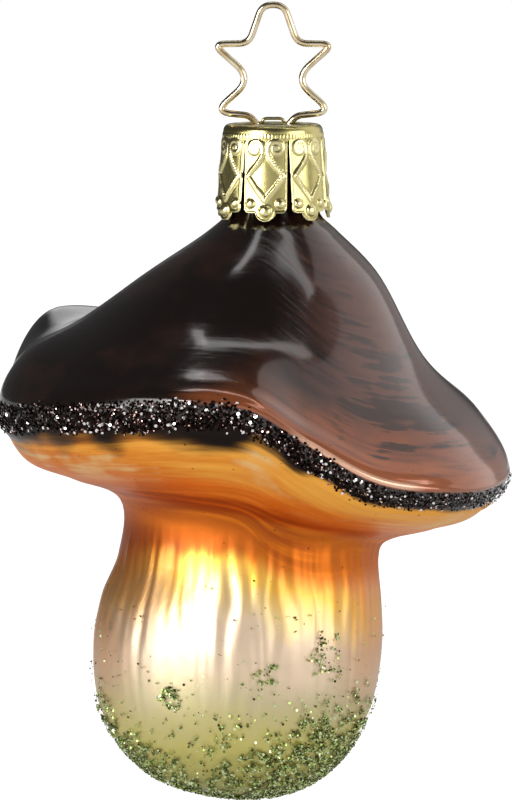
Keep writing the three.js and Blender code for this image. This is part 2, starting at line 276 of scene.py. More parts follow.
@dataclass(frozen=True)
class GlassLacquer:
    """Brown gloss lacquer over the cap, satin orange under it, and champagne running to moss on the stem.

    A span holds where a smooth step begins and ends. Sides are millimetres to the right of the neck's
    axis, rows are millimetres below the edge of the brim along the glass, heights are millimetres above
    the hook, and levels are values of a noise.
    """

    dark: Colour = (0.010, 0.0052, 0.0042)
    brown: Colour = (0.125, 0.040, 0.022)
    copper: Colour = (0.42, 0.115, 0.036)
    # The peach paints a highlight line along the brim's edge.
    highlight_peach: Colour = (0.93, 0.55, 0.37)
    amber: Colour = (0.95, 0.44, 0.070)
    orange: Colour = (0.76, 0.205, 0.014)
    rust: Colour = (0.42, 0.085, 0.010)
    cream: Colour = (0.90, 0.66, 0.30)
    flame: Colour = (0.93, 0.52, 0.08)
    champagne: Colour = (0.80, 0.62, 0.44)
    # The tan is painted shade on the stem's flanks, turning rust nearer the top.
    tan: Colour = (0.76, 0.335, 0.11)
    sage: Colour = (0.66, 0.57, 0.33)
    olive: Colour = (0.66, 0.59, 0.19)
    moss: Colour = (0.32, 0.31, 0.085)

    # Noises: scale for each millimetre, and detail.
    cloud_noise: Span = (0.11, 3.0)
    blotch_noise: Span = (0.15, 0.6)
    ripple_noise: Span = (0.4, 1.0)
    fleck_noise: Span = (1.7, 1.0)
    # Strokes are drawn out along the brim and streaks down the stem: scales for each axis, and detail.
    stroke_scales: Triple = (0.07, 0.07, 0.8)
    stroke_detail: float = 4.0
    streak_scales: Triple = (0.55, 0.55, 0.035)
    streak_detail: float = 3.0

    satin_roughness: float = 0.38
    gloss_roughness: float = 0.10
    roughness_swing: float = 0.12
    coat_roughness: float = 0.10
    thin_coat: float = 0.1
    silver: float = 0.9
    hidden_silver: float = 0.5
    gloss_rows: Span = (3.0, 1.0)
    brushed_rows: Span = (18.0, 12.0)
    fleck_levels: Span = (0.75, 0.79)
    fleck_share: float = 0.7
    stem_rows: Span = (21.0, 25.0)
    stem_coat: float = 0.35
    stem_coat_heights: Window = ((-92.0, -84.0), (-64.0, -68.0))
    groove_strength: float = 0.6
    groove_depth: float = 0.1
    ripple_share: float = 0.8

    left_side: Span = (8.0, -4.0)
    foot: float = 2.7
    foot_drop: float = 0.7
    foot_blotch: float = 6.0
    foot_stroke: float = 3.0
    foot_right: float = 0.3
    foot_softness: float = 0.7
    ragged_stroke: float = 16.0
    ragged_cloud: float = 12.0
    thin_side: Span = (-1.0, 15.0)
    mottle_levels: Span = (0.5, 0.7)
    mottle_share: float = 0.15
    warm_rows: Span = (-10.0, -1.0)
    warm_cloud: float = 8.0
    warm_side: Span = (-14.0, 10.0)
    warm_levels: Span = (0.62, 0.42)
    warm_share: float = 0.25
    warm_stroke: float = 0.6
    dab_levels: Span = (0.57, 0.66)
    dab_stroke: float = 0.9
    dab_side: Span = (4.0, 9.0)
    dab_share: float = 0.75
    # Copper along the brim's crest at the right: thin lacquer, with a painted reflection streak.
    crest_reflection_rows: Window = ((-2.4, -0.7), (0.8, 0.2))
    crest_reflection_side: Span = (-13.0, -8.0)
    crest_reflection_ragged: float = 0.3
    crest_reflection_share: float = 0.55
    # Peach line along the brim's edge at the front right: thin lacquer over the silvering, with a painted
    # highlight.
    highlight_line_rows: Window = ((-0.6, -0.25), (0.45, 0.2))
    highlight_line_start: Span = (1.0, 5.0)
    highlight_line_stop: Span = (18.5, 16.0)
    highlight_line_ragged: Span = (0.2, 0.1)
    highlight_line_share: float = 0.8
    seat_rows: Span = (0.3, 0.6)

    ripe_rows: Span = (3.5, 15.0)
    ripe_stroke: float = 22.0
    ripe_side: Span = (-8.0, -22.0)
    ripe_lead: float = 5.0
    pale_stroke: float = 0.8
    pale_levels: Span = (0.90, 1.15)
    pale_rows: Span = (15.0, 7.0)
    pale_share: float = 0.75
    throat_rows: Window = ((12.0, 18.0), (26.0, 20.0))
    throat_levels: Span = (0.25, 0.6)
    throat_side: Span = (0.0, 8.0)
    throat_ease: float = 0.5
    stem_axis: float = -4.7
    # Painted shade on the stem's flanks, by millimetres from its axis across the view: reach, how much lower
    # the orange runs, and heights.
    side_shade_reach: Span = (11.0, 18.0)
    side_shade_run: float = 3.0
    side_shade_heights: Span = (-92.0, -76.0)
    right_side: Span = (-5.0, 3.0)
    right_run: float = 3.2
    run_heights: Span = (-92.0, -74.0)
    # Painted shade on the stem's left side.
    left_shade_side: Span = (-9.0, -18.0)
    left_shade_heights: Span = (-79.0, -71.0)
    ramp_top: float = -60.0
    ramp_length: float = 40.0
    ramp_streak: float = 5.0
    ramp_cloud: float = 6.0
    # The painted shade's tint turns from tan to rust over these heights, and its share.
    shade_tint_heights: Span = (-72.0, -67.0)
    shade_tint_share: float = 0.75
    # Rust at the left of the stem's top, just under the throat.
    top_left_rust_heights: Span = (-67.2, -65.2)
    top_left_rust_streak: float = 4.0
    top_left_rust_side: Span = (0.0, -4.0)
    top_left_rust_share: float = 0.85

    def material(self) -> bpy.types.Material:
        """Builds the lacquers of the whole glass body.

        Returns:
            The material.
        """
        material, graph = new_material("lacquered_glass")
        place = graph.place()
        at = self._place(graph, place)
        cap, cap_colour = self._cap(graph, at)
        colour = graph.mix(cap, self._lower(graph, at), cap_colour)
        flecks = graph.cloud(place, *self.fleck_noise).rise(*self.fleck_levels)
        colour = graph.mix(flecks * self.fleck_share, colour, self.dark)
        satin = self.satin_roughness + self.roughness_swing * at.streaks
        gloss = self.gloss_roughness + self.roughness_swing * at.strokes
        thick = at.below.rise(*self.gloss_rows)
        coat = self.thin_coat + (1 - self.thin_coat) * thick
        stem = at.below.rise(*self.stem_rows) * at.height.window(*self.stem_coat_heights)
        ripple = graph.cloud(place, *self.ripple_noise)
        grooves = at.strokes * at.below.rise(*self.brushed_rows) + (1 - cap) * at.streaks
        grooves = grooves + self.ripple_share * ripple
        graph.surface(
            {
                "Base Color": colour,
                "Metallic": self.silver - self.hidden_silver * cap * thick,
                "Roughness": satin + cap * (gloss - satin),
                "Coat Weight": cap * coat + self.stem_coat * stem,
                "Coat Roughness": self.coat_roughness,
                "Normal": graph.bump(grooves, self.groove_strength, self.groove_depth),
            }
        )
        return material

    def _place(self, graph: Graph, place: bpy.types.NodeSocket) -> GlassPlace:
        """Reads off where a point lies and the noises there.

        Args:
            graph: The material's graph.
            place: The point in millimetres.

        Returns:
            The point's signals.
        """
        axes = graph.node("ShaderNodeSeparateXYZ", None, {0: place})
        across, depth, height = (graph.signal(axes, axis) for axis in "XYZ")
        below = graph.attribute("below_edge")
        scaled = [scale * way for scale, way in zip(self.stroke_scales, (across, depth, below))]
        drawn = graph.node("ShaderNodeCombineXYZ", None, dict(enumerate(scaled)))
        return GlassPlace(
            across,
            height,
            below,
            graph.cloud(drawn.outputs[0], 1.0, self.stroke_detail),
            graph.cloud(graph.stretched(place, self.streak_scales), 1.0, self.streak_detail),
            graph.cloud(place, *self.cloud_noise),
            graph.cloud(place, *self.blotch_noise),
        )

    def _cap(self, graph: Graph, at: GlassPlace) -> tuple[Signal, bpy.types.NodeSocket]:
        """The brown lacquer, brushed on thick at the left and thin at the right, with painted highlights at
        the brim.

        Args:
            graph: The material's graph.
            at: The point's signals.

        Returns:
            Where the lacquer lies, and its colour.
        """
        left = at.across.rise(*self.left_side)
        uneven = at.blotch.swing(self.foot_blotch) + at.strokes.swing(self.foot_stroke)
        uneven = uneven * (self.foot_right + (1 - self.foot_right) * left)
        foot = self.foot + self.foot_drop * left + uneven
        bare = ((at.below - foot) * (1 - self.foot_softness * left)).rise(0.0, 1.0)
        cap = 1 - bare * bare
        ragged = at.strokes.swing(self.ragged_stroke) + at.cloud.swing(self.ragged_cloud)
        mottle = self.mottle_share * at.cloud.rise(*self.mottle_levels)
        thin = (at.across + ragged).rise(*self.thin_side).highest(mottle)
        colour = graph.mix(thin, self.dark, self.brown)
        warm = (at.below + at.cloud.swing(self.warm_cloud)).rise(*self.warm_rows)
        warm = warm * (at.across + ragged).rise(*self.warm_side)
        warm = warm * (self.warm_share + self.warm_stroke * at.strokes.rise(*self.warm_levels))
        colour = graph.mix(warm, colour, self.copper)
        dabs = (at.cloud + at.strokes.swing(self.dab_stroke)).rise(*self.dab_levels)
        dabs = dabs * at.across.rise(*self.dab_side)
        colour = graph.mix(dabs * self.dab_share, colour, self.dark)
        # Copper along the brim's crest: thin lacquer, with a painted reflection streak.
        rim = (at.across + self.crest_reflection_ragged * ragged).rise(*self.crest_reflection_side)
        rim = at.below.window(*self.crest_reflection_rows) * rim
        colour = graph.mix(rim * self.crest_reflection_share, colour, self.copper)
        # Painted highlight: a peach line along the brim's edge at the front right, over thin lacquer.
        lip = at.below.window(*self.highlight_line_rows)
        for share, side in zip(self.highlight_line_ragged, (self.highlight_line_start, self.highlight_line_stop)):
            lip = lip * (at.across + share * ragged).rise(*side)
        colour = graph.mix(lip * self.highlight_line_share, colour, self.highlight_peach)
        return cap, graph.mix(at.below.rise(*self.seat_rows), colour, self.dark)

    def _lower(self, graph: Graph, at: GlassPlace) -> bpy.types.NodeSocket:
        """The satin colours of the underside and the stem.

        Args:
            graph: The material's graph.
            at: The point's signals.

        Returns:
            The colour.
        """
        lead = self.ripe_lead * at.across.rise(*self.ripe_side)
        ripe = (at.below + at.strokes.swing(self.ripe_stroke) + lead).rise(*self.ripe_rows)
        under = graph.mix(ripe, self.amber, self.orange)
        pale = (at.cloud + self.pale_stroke * at.strokes).rise(*self.pale_levels)
        pale = pale * at.below.rise(*self.pale_rows)
        under = graph.mix(pale * self.pale_share, under, self.cream)
        shade = at.strokes.rise(*self.throat_levels)
        shade = shade * (1 - self.throat_ease * at.across.rise(*self.throat_side))
        under = graph.mix(at.below.window(*self.throat_rows) * shade, under, self.rust)
        return graph.mix(at.below.rise(*self.stem_rows), under, self._stem(graph, at))

    def _stem(self, graph: Graph, at: GlassPlace) -> bpy.types.NodeSocket:
        """The colours of the stem, which run down it, with painted shade on its flanks and rust at the left
        of its top.

        Args:
            graph: The material's graph.
            at: The point's signals.

        Returns:
            The colour.
        """
        # Painted shade: far from the stem's axis across the view the orange runs lower, and the flanks, the
        # left most, take a tan-to-rust tint.
        edge = (at.across - self.stem_axis).size().rise(*self.side_shade_reach)
        run = self.side_shade_run * edge + self.right_run * at.across.rise(*self.right_side)
        level = at.height + at.streaks.swing(self.ramp_streak) + at.cloud.swing(self.ramp_cloud)
        level = level + run * at.height.rise(*self.run_heights)
        stops = (
            (0.06, self.rust),
            (0.14, self.orange),
            (0.21, self.flame),
            (0.29, self.cream),
            (0.36, self.champagne),
            (0.48, self.champagne),
            (0.60, self.sage),
            (0.75, self.olive),
            (0.94, self.moss),
        )
        share = (self.ramp_top - level) * (1 / self.ramp_length)
        colour = graph.node("ShaderNodeValToRGB", {"stops": stops}, {0: share}).outputs[0]
        left_shade = at.across.rise(*self.left_shade_side) * at.height.rise(*self.left_shade_heights)
        side_shade = (edge * at.height.rise(*self.side_shade_heights)).highest(left_shade)
        shade_tint = graph.mix(at.height.rise(*self.shade_tint_heights), self.tan, self.rust)
        colour = graph.mix(side_shade * self.shade_tint_share, colour, shade_tint)
        # Rust laid at the left of the stem's top.
        top_left_rust = (at.height + at.streaks.swing(self.top_left_rust_streak)).rise(*self.top_left_rust_heights)
        top_left_rust = top_left_rust * at.across.rise(*self.top_left_rust_side)
        return graph.mix(top_left_rust * self.top_left_rust_share, colour, self.rust)


@dataclass(frozen=True)
class StampedBrass:
    """Pale brass, bright where the stamp raises it, and tarnished with painted shade where it doesn't."""

    bright: Colour = (0.84, 0.75, 0.38)
    tarnish_and_shade: Colour = (0.52, 0.45, 0.15)
    # Noises: scale for each millimetre, and detail.
    cloud_noise: Span = (0.6, 3.0)
    grain_noise: Span = (9.0, 2.0)
    # Millimetres of relief between the tarnish with painted shade and the polish, and how far the clouds
    # shift them.
    polish_relief: Span = (0.0, 0.14)
    polish_cloud: float = 0.10
    least_polish: float = 0.30
    roughness: float = 0.17
    roughness_swing: float = 0.10
    grain_strength: float = 0.35
    grain_depth: float = 0.03

    def material(self) -> bpy.types.Material:
        """Builds the crown's metal.

        Returns:
            The material.
        """
        material, graph = new_material("stamped_brass")
        place = graph.place()
        cloud = graph.cloud(place, *self.cloud_noise)
        grain = graph.cloud(place, *self.grain_noise)
        # Recesses of the stamp take the dull colour: tarnish with painted shade.
        raised = (graph.attribute("relief") + cloud.swing(self.polish_cloud)).rise(*self.polish_relief)
        polish = self.least_polish + (1 - self.least_polish) * raised
        graph.surface(
            {
                "Base Color": graph.mix(polish, self.tarnish_and_shade, self.bright),
                "Metallic": 1.0,
                "Roughness": self.roughness + self.roughness_swing * cloud,
                "Normal": graph.bump(grain, self.grain_strength, self.grain_depth),
            }
        )
        return material


@dataclass(frozen=True)
class DrawnWire:
    """Bright gilt wire with the fine marks of the drawing die."""

    gilt: Colour = (0.92, 0.80, 0.55)
    worn: Colour = (0.66, 0.48, 0.26)
    # Noises: scale for each millimetre, and detail.
    cloud_noise: Span = (0.5, 3.0)
    mark_noise: Span = (6.0, 2.0)
    worn_levels: Span = (0.35, 0.75)
    roughness: float = 0.10
    roughness_swing: float = 0.08

    def material(self) -> bpy.types.Material:
        """Builds the wire's metal.

        Returns:
            The material.
        """
        material, graph = new_material("gilt_wire")
        place = graph.place()
        worn = graph.cloud(place, *self.cloud_noise).rise(*self.worn_levels)
        marks = graph.cloud(place, *self.mark_noise)
        graph.surface(
            {
                "Base Color": graph.mix(worn, self.gilt, self.worn),
                "Metallic": 1.0,
                "Roughness": self.roughness + self.roughness_swing * marks,
            }
        )
        return material


@dataclass(frozen=True)
class Foil:
    """One tint of glitter flake: a cut of metallised film."""

    name: str
    tint: Colour
    roughness: float
    share: float
    size: float = 1.0
    varnish: float = 0.5
    varnish_roughness: float = 0.05

    def material(self) -> bpy.types.Material:
        """Builds the flake's material.

        Returns:
            The material.
        """
        material, graph = new_material(self.name)
        graph.surface(
            {
                "Base Color": self.tint,
                "Metallic": 1.0,
                "Roughness": self.roughness,
                "Coat Weight": self.varnish,
                "Coat Roughness": self.varnish_roughness,
            }
        )
        return material


def new_piece(
    name: str, bm: bmesh.types.BMesh, materials: Sequence[bpy.types.Material], smooth: bool = True
) -> bpy.types.Object:
    """Turns a finished bmesh into an object at the origin.

    Args:
        name: The piece's name.
        bm: Its mesh, which is freed.
        materials: Its material slots, in order.
        smooth: Whether its faces are shaded smooth.

    Returns:
        The object.
    """
    mesh = bpy.data.meshes.new(name)
    if smooth:
        for face in bm.faces:
            face.smooth = True
    bm.to_mesh(mesh)
    bm.free()
    for material in materials:
        mesh.materials.append(material)
    piece = bpy.data.objects.new(name, mesh)
    bpy.context.scene.collection.objects.link(piece)
    return piece


def give_wall(piece: bpy.types.Object, thickness: float) -> None:
    """Thickens a sheet inwards.

    Args:
        piece: The sheet.
        thickness: Millimetres.
    """
    wall = piece.modifiers.new("wall", "SOLIDIFY")
    wall.thickness = thickness * MM
    wall.offset = -1.0


def ride(piece: bpy.types.Object, body: Body, slot: str, *nodes: str) -> None:
    """Fixes a piece to its body.

    Args:
        piece: The piece.
        body: The body that it moves with.
        slot: The record's material slot, which is not used.
        nodes: The CAD nodes that it stands for.
    """
    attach(piece, body.value)
    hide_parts(*nodes)
    log.info("%s: %d faces on %s", piece.name, len(piece.data.polygons), body.value)


def ramp(value: np.ndarray, low: float, high: float) -> np.ndarray:
    """A smooth step from 0 at low to 1 at high."""
    share = np.clip((value - low) / (high - low), 0.0, 1.0)
    return share * share * (3 - 2 * share)


def bell(value: np.ndarray, middle: float, spread: float) -> np.ndarray:
    """A bell curve that is 1 at its middle."""
    return np.exp(-(((value - middle) / spread) ** 2))


def noise_at(places: np.ndarray, scale: float, shift: Triple = (0.0, 0.0, 0.0)) -> np.ndarray:
    """Noise about 0 at points, with a scale for each millimetre and a shift of its origin."""
    return np.array([noise.noise(Vector(place) * scale + Vector(shift)) for place in places])


def spline_points(knots: np.ndarray, share: np.ndarray) -> np.ndarray:
    """Points on centripetal Catmull-Rom spans.

    Args:
        knots: Four knots for each point, shaped (points, 4, 3).
        share: How far along its middle span each point lies.

    Returns:
        The points, shaped (points, 3).
    """
    least_step, root_of_length = 1e-4, 0.25
    steps = np.maximum(np.sum(np.diff(knots, axis=1) ** 2, axis=2) ** root_of_length, least_step)
    before, middle, after = (steps[:, k, None] for k in range(3))
    a, b, c, d = (knots[:, k] for k in range(4))
    leave = ((b - a) / before - (c - a) / (before + middle) + (c - b) / middle) * middle
    arrive = ((c - b) / middle - (d - b) / (middle + after) + (d - c) / after) * middle
    t = share[:, None]
    bend = 3 * (c - b) - 2 * leave - arrive
    return b + leave * t + bend * t**2 + (2 * (b - c) + leave + arrive) * t**3


@dataclass(frozen=True)
class GlassForm:
    """The outside of the blown glass as a loft, in millimetres, with depths below the lip of its neck."""

    lip: float = -14.95
    neck_radius: float = 5.45
    neck_length: float = 7.6
    neck_flare: float = 0.45
    collar_flare: float = 2.25
    collar_depth: float = 12.4
    collar_rise: float = 1.8
    height: float = 83.65
    reach: float = 30.0
    roll: float = 5.6
    crest_inset: float = 3.0
    throat_radius: float = 16.5
    throat_level: float = 0.588
    throat_offset: float = -2.65
    throat_lean: float = 3.4
    throat_low_side: float = 35.0
    stem_radius: float = 18.1
    stem_offset: float = -4.7
    # Shares of the way from the collar to the dome and from the edge to the throat, and what the right adds.
    shoulder_out: float = 0.46
    shoulder_down: float = 0.39
    shoulder_down_right: float = -0.06
    tuck_out: float = 0.22
    tuck_out_right: float = 0.03
    tuck_down: float = 0.57
    under_out: float = 0.6
    under_down: float = 0.79
    edge_station: int = 7
    throat_station: int = 10
    arc_columns: int = 180
    arc_rows: int = 40
    # Azimuth; the edge's shares of reach and height; the crest's share of the roll; the dome's shares.
    cap_sections: tuple[tuple[float, ...], ...] = (
        (0, 0.98, 0.502, 1, 0.63, 0.34),
        (30, 1, 0.478, 1, 0.63, 0.337),
        (60, 0.983, 0.442, 0.964, 0.647, 0.323),
        (90, 0.983, 0.412, 0.964, 0.673, 0.311),
        (122, 1.067, 0.375, 1, 0.72, 0.301),
        (150, 1.173, 0.354, 1.036, 0.767, 0.292),
        (172, 1.13, 0.392, 0.964, 0.78, 0.283),
        (192, 1.137, 0.399, 0.982, 0.777, 0.274),
        (218, 1.067, 0.387, 0.7, 0.73, 0.274),
        (244, 1, 0.373, 0.5, 0.68, 0.285),
        (264, 0.953, 0.38, 0.43, 0.653, 0.3),
        (279, 0.94, 0.435, 0.55, 0.64, 0.32),
        (296, 0.973, 0.49, 0.75, 0.63, 0.335),
        (320, 1, 0.512, 0.964, 0.623, 0.342),
        (342, 0.987, 0.514, 1, 0.623, 0.343),
    )
    # Shares of the stem's radius, of the height and of the stem's offset.
    stem_sections: tuple[Triple, ...] = (
        (0.9, 0.638, 0.64),
        (0.972, 0.705, 0.85),
        (1, 0.771, 0.94),
        (0.928, 0.874, 1),
        (0.641, 0.959, 0.94),
        (0.293, 0.9934, 0.74),
        (0, 1, 0.66),
    )

    def _loft_line(self, reaches: np.ndarray, depths: np.ndarray, around: np.ndarray) -> np.ndarray:
        """Points on the closed line through one place of every cap section.

        Args:
            reaches: The place's distance from the neck's axis at each section.
            depths: Its depth at each section.
            around: Where the points lie on the line, 0 to 1.

        Returns:
            The points, shaped (points, 3).
        """
        turn = np.radians([section[0] for section in self.cap_sections])
        line = np.stack([reaches * np.cos(turn), reaches * np.sin(turn), -depths], axis=1)
        place = (around % 1.0) * len(line)
        span = np.floor(place).astype(int)
        knots = line[(span[:, None] + np.arange(-1, 3)) % len(line)]
        return spline_points(knots, place - span)

    def stations(self, around: np.ndarray) -> np.ndarray:
        """The knots of the meridians.

        Args:
            around: Where the meridians lie, 0 to 1 anticlockwise from +X.

        Returns:
            Knots from the lip to the bottom, shaped (meridians, knots, 3).
        """
        _, out, down, crest_share, dome_out, dome_down = np.array(self.cap_sections).T
        edge = self._loft_line(out * self.reach, down * self.height, around)
        crest = self._loft_line(
            out * self.reach - self.crest_inset, down * self.height - crest_share * self.roll, around
        )
        dome = self._loft_line(dome_out * self.reach, dome_down * self.height, around)
        azimuth = np.arctan2(edge[:, 1], edge[:, 0])
        right = np.cos(azimuth)

        def ring(radius: float, depth: float | np.ndarray, offset: float = 0.0) -> np.ndarray:
            """A round section."""
            level = np.broadcast_to(-np.asarray(depth, float), azimuth.shape)
            return np.stack([offset + radius * right, radius * np.sin(azimuth), level], axis=1)

        def between(first: np.ndarray, last: np.ndarray, out: Any, down: Any) -> np.ndarray:
            """A place part of the way from one knot to another."""
            shares = [np.broadcast_to(share, azimuth.shape) for share in (out, out, down)]
            return first + (last - first) * np.stack(shares, axis=1)

        collar = ring(self.neck_radius + self.collar_flare, self.collar_depth)
        lean = self.throat_lean * np.cos(azimuth - math.radians(self.throat_low_side))
        throat = ring(self.throat_radius, self.throat_level * self.height + lean, self.throat_offset)
        knots = [
            ring(self.neck_radius, 0.0),
            ring(self.neck_radius, self.neck_length),
            ring(self.neck_radius + self.neck_flare, self.collar_depth - self.collar_rise),
            collar,
            between(collar, dome, self.shoulder_out, self.shoulder_down + self.shoulder_down_right * right),
            dome,
            crest,
            edge,
            between(edge, throat, self.tuck_out + self.tuck_out_right * right, self.tuck_down),
            between(edge, throat, self.under_out, self.under_down),
            throat,
        ]
        knots += [
            ring(wide * self.stem_radius, deep * self.height, aside * self.stem_offset)
            for wide, deep, aside in self.stem_sections
        ]
        return np.stack(knots, axis=1)

    @property
    def spans(self) -> int:
        """How many spans a meridian has."""
        return self.throat_station + len(self.stem_sections)

    def points(self, around: np.ndarray, along: np.ndarray) -> np.ndarray:
        """Points on the glass.

        Args:
            around: 0 to 1 anticlockwise from +X.
            along: Knots from the lip, 0 to the number of spans.

        Returns:
            The points in millimetres in the frame, shaped (points, 3).
        """
        knots = self.stations(around)
        first = 2 * knots[:, :1] - knots[:, 1:2]
        last = 2 * knots[:, -1:] - knots[:, -2:-1]
        knots = np.concatenate([first, knots, last], axis=1)
        span = np.clip(np.floor(along).astype(int), 0, self.spans - 1)
        chosen = knots[np.arange(len(span))[:, None], span[:, None] + np.arange(4)]
        return spline_points(chosen, along - span) + (0.0, 0.0, self.lip)

    def normals(self, around: np.ndarray, along: np.ndarray) -> tuple[np.ndarray, np.ndarray]:
        """The outward normals of the glass.

        Args:
            around: 0 to 1 anticlockwise from +X.
            along: Knots from the lip.

        Returns:
            Unit normals, and the area in square millimetres that a unit of around and along covers.
        """
        step, least_area = 1e-4, 1e-9
        east = self.points(around + step, along) - self.points(around - step, along)
        low, high = np.maximum(along - step, 0.0), np.minimum(along + step, float(self.spans))
        south = (self.points(around, high) - self.points(around, low)) / (high - low)[:, None]
        cross = np.cross(south, east / (2 * step))
        area = np.linalg.norm(cross, axis=1)
        return cross / np.maximum(area, least_area)[:, None], area

    def arc(self, around: np.ndarray, along: np.ndarray) -> np.ndarray:
        """How far places lie below the edge of the brim, along the glass.

        Args:
            around: 0 to 1 anticlockwise from +X.
            along: Knots from the lip.

        Returns:
            Millimetres, negative above the edge.
        """
        rows = self.arc_rows * self.spans
        turns = np.linspace(0.0, 1.0, self.arc_columns + 1)
        steps = np.linspace(0.0, float(self.spans), rows + 1)
        grid = [self.points(np.full_like(steps, turn), steps) for turn in turns]
        lengths = np.linalg.norm(np.diff(np.array(grid), axis=1), axis=2)
        total = np.concatenate([np.zeros((len(turns), 1)), np.cumsum(lengths, axis=1)], axis=1)
        total -= total[:, [self.arc_rows * self.edge_station]]
        margin = 0.001
        column = np.clip((around % 1.0) * self.arc_columns, 0, self.arc_columns - margin)
        row = np.clip(along * self.arc_rows, 0, rows - margin)
        c, r = column.astype(int), row.astype(int)
        x, y = column - c, row - r
        upper = total[c, r] * (1 - y) + total[c, r + 1] * y
        lower = total[c + 1, r] * (1 - y) + total[c + 1, r + 1] * y
        return upper * (1 - x) + lower * x


@dataclass
class GlassBody:
    """The blown glass: one thin shell, open at the neck, with ribs pressed into its stem."""

    form: GlassForm
    finish: GlassLacquer
    wall: float = 0.8
    columns: int = 300
    # Rows of faces in each span, from the lip to the bottom.
    rows: tuple[int, ...] = (3, 4, 4, 8, 10, 12, 22, 20, 10, 10, 8, 8, 8, 10, 10, 6, 3)
    rib_depth: float = 0.105
    rib_count: int = 62
    # Heights at which the ribs fade in and out.
    rib_foot: Span = (-91.0, -76.0)
    rib_head: Span = (-62.0, -69.0)
    # Noises on the stem: scale round it, and for each millimetre of height.
    sway_noise: Span = (4.0, 0.16)
    wander_noise: Span = (13.0, 0.08)
    sway: float = 0.06
    wander: float = 2.2
    flute: float = 0.4
    # The ribs weave, by radians and in waves round the stem, and slant, by radians for each millimetre.
    rib_weave: Span = (1.4, 3.0)
    rib_slant: float = 0.1
    # Waves of the dents: radians for each millimetre along each axis, and radians at the origin.
    dent_waves: tuple[Triple, ...] = ((0.31, 0.0, 0.0), (0.0, 0.37, 0.0), (0.23, -0.29, 0.41))
    dent_phases: Triple = (0.7, 0.0, 0.0)
    dent_depth: float = 0.03
    # Knots from the lip between which the cap is dented.
    dent_start: Span = (3.5, 4.5)
    dent_stop: Span = (7.0, 6.4)
    bead_height: float = 0.2
    bead_front: Span = (6.0, -6.0)
    # A bead along the edge at the right, and one under the strip: millimetres below the edge, and spread.
    edge_bead: Span = (0.05, 0.38)
    edge_bead_side: Span = (-13.0, -3.0)
    low_bead: Span = (4.3, 0.42)

    def build(self) -> bpy.types.Object:
        """Moves a flat grid onto the loft, closes its seam and its pole, and gives it a wall.

        Returns:
            The glass.
        """
        bm = bmesh.new()
        bm.loops.layers.uv.new("UVMap")
        total = sum(self.rows)
        bmesh.ops.create_grid(bm, x_segments=self.columns, y_segments=total, size=0.5, calc_uvs=True)
        flat = np.array([vert.co[:] for vert in bm.verts])
        around = flat[:, 0] + 0.5
        knots = np.concatenate([[0], np.cumsum(self.rows)])
        along = np.interp((0.5 - flat[:, 1]) * total, knots, np.arange(len(knots), dtype=float))
        below = self.form.arc(around, along)
        places = self.form.points(around, along)
        normals, _ = self.form.normals(around, along)
        places += normals * self._relief(places, below, along)[:, None]
        layer = bm.verts.layers.float.new("below_edge")
        for vert, place, distance in zip(bm.verts, places * MM, below):
            vert.co = place
            vert[layer] = distance
        bmesh.ops.remove_doubles(bm, verts=bm.verts[:], dist=SEAM)
        bmesh.ops.recalc_face_normals(bm, faces=bm.faces[:])
        piece = new_piece("blown_glass", bm, [self.finish.material()])
        give_wall(piece, self.wall)
        ride(piece, Body.GLASS, "lacquered_glass", "glass_body")
        return piece

    def _relief(self, places: np.ndarray, below: np.ndarray, along: np.ndarray) -> np.ndarray:
        """How far the glass stands proud of the smooth loft.

        Args:
            places: Points on the loft in millimetres.
            below: Their distance below the edge of the brim.
            along: Their knots from the lip.

        Returns:
            Millimetres along the normal.
        """
        across, depth, level = places.T
        turn = np.arctan2(depth, across - self.form.stem_offset)
        turn = turn + self.sway * self._round_noise(turn, level, *self.sway_noise)
        weave, waves = self.rib_weave
        flutes = np.cos(self.rib_count * turn + weave * np.sin(waves * turn) - self.rib_slant * level)
        ribs = self.wander * self._round_noise(turn, level, *self.wander_noise) + self.flute * flutes
        stem = ramp(level, *self.rib_foot) * ramp(level, *self.rib_head)
        stem = stem * (along > self.form.throat_station - 1)
        east, north, oblique = np.sin(places @ np.array(self.dent_waves).T + self.dent_phases).T
        dents = east * north + oblique
        cap = ramp(along, *self.dent_start) * ramp(along, *self.dent_stop)
        edge_bead = ramp(across, *self.edge_bead_side) * bell(below, *self.edge_bead)
        beads = (edge_bead + bell(below, *self.low_bead)) * ramp(depth, *self.bead_front)
        return self.rib_depth * ribs * stem + self.dent_depth * dents * cap + self.bead_height * beads

    @staticmethod
    def _round_noise(turn: np.ndarray, level: np.ndarray, around: float, up: float) -> np.ndarray:
        """Noise about 0 on the stem.

        Args:
            turn: Azimuths in radians.
            level: Heights in millimetres.
            around: The noise's scale round the stem.
            up: Its scale for each millimetre of height.

        Returns:
            The noise.
        """
        places = np.stack([around * np.cos(turn), around * np.sin(turn), up * level], axis=1)
        return noise_at(places, 1.0)


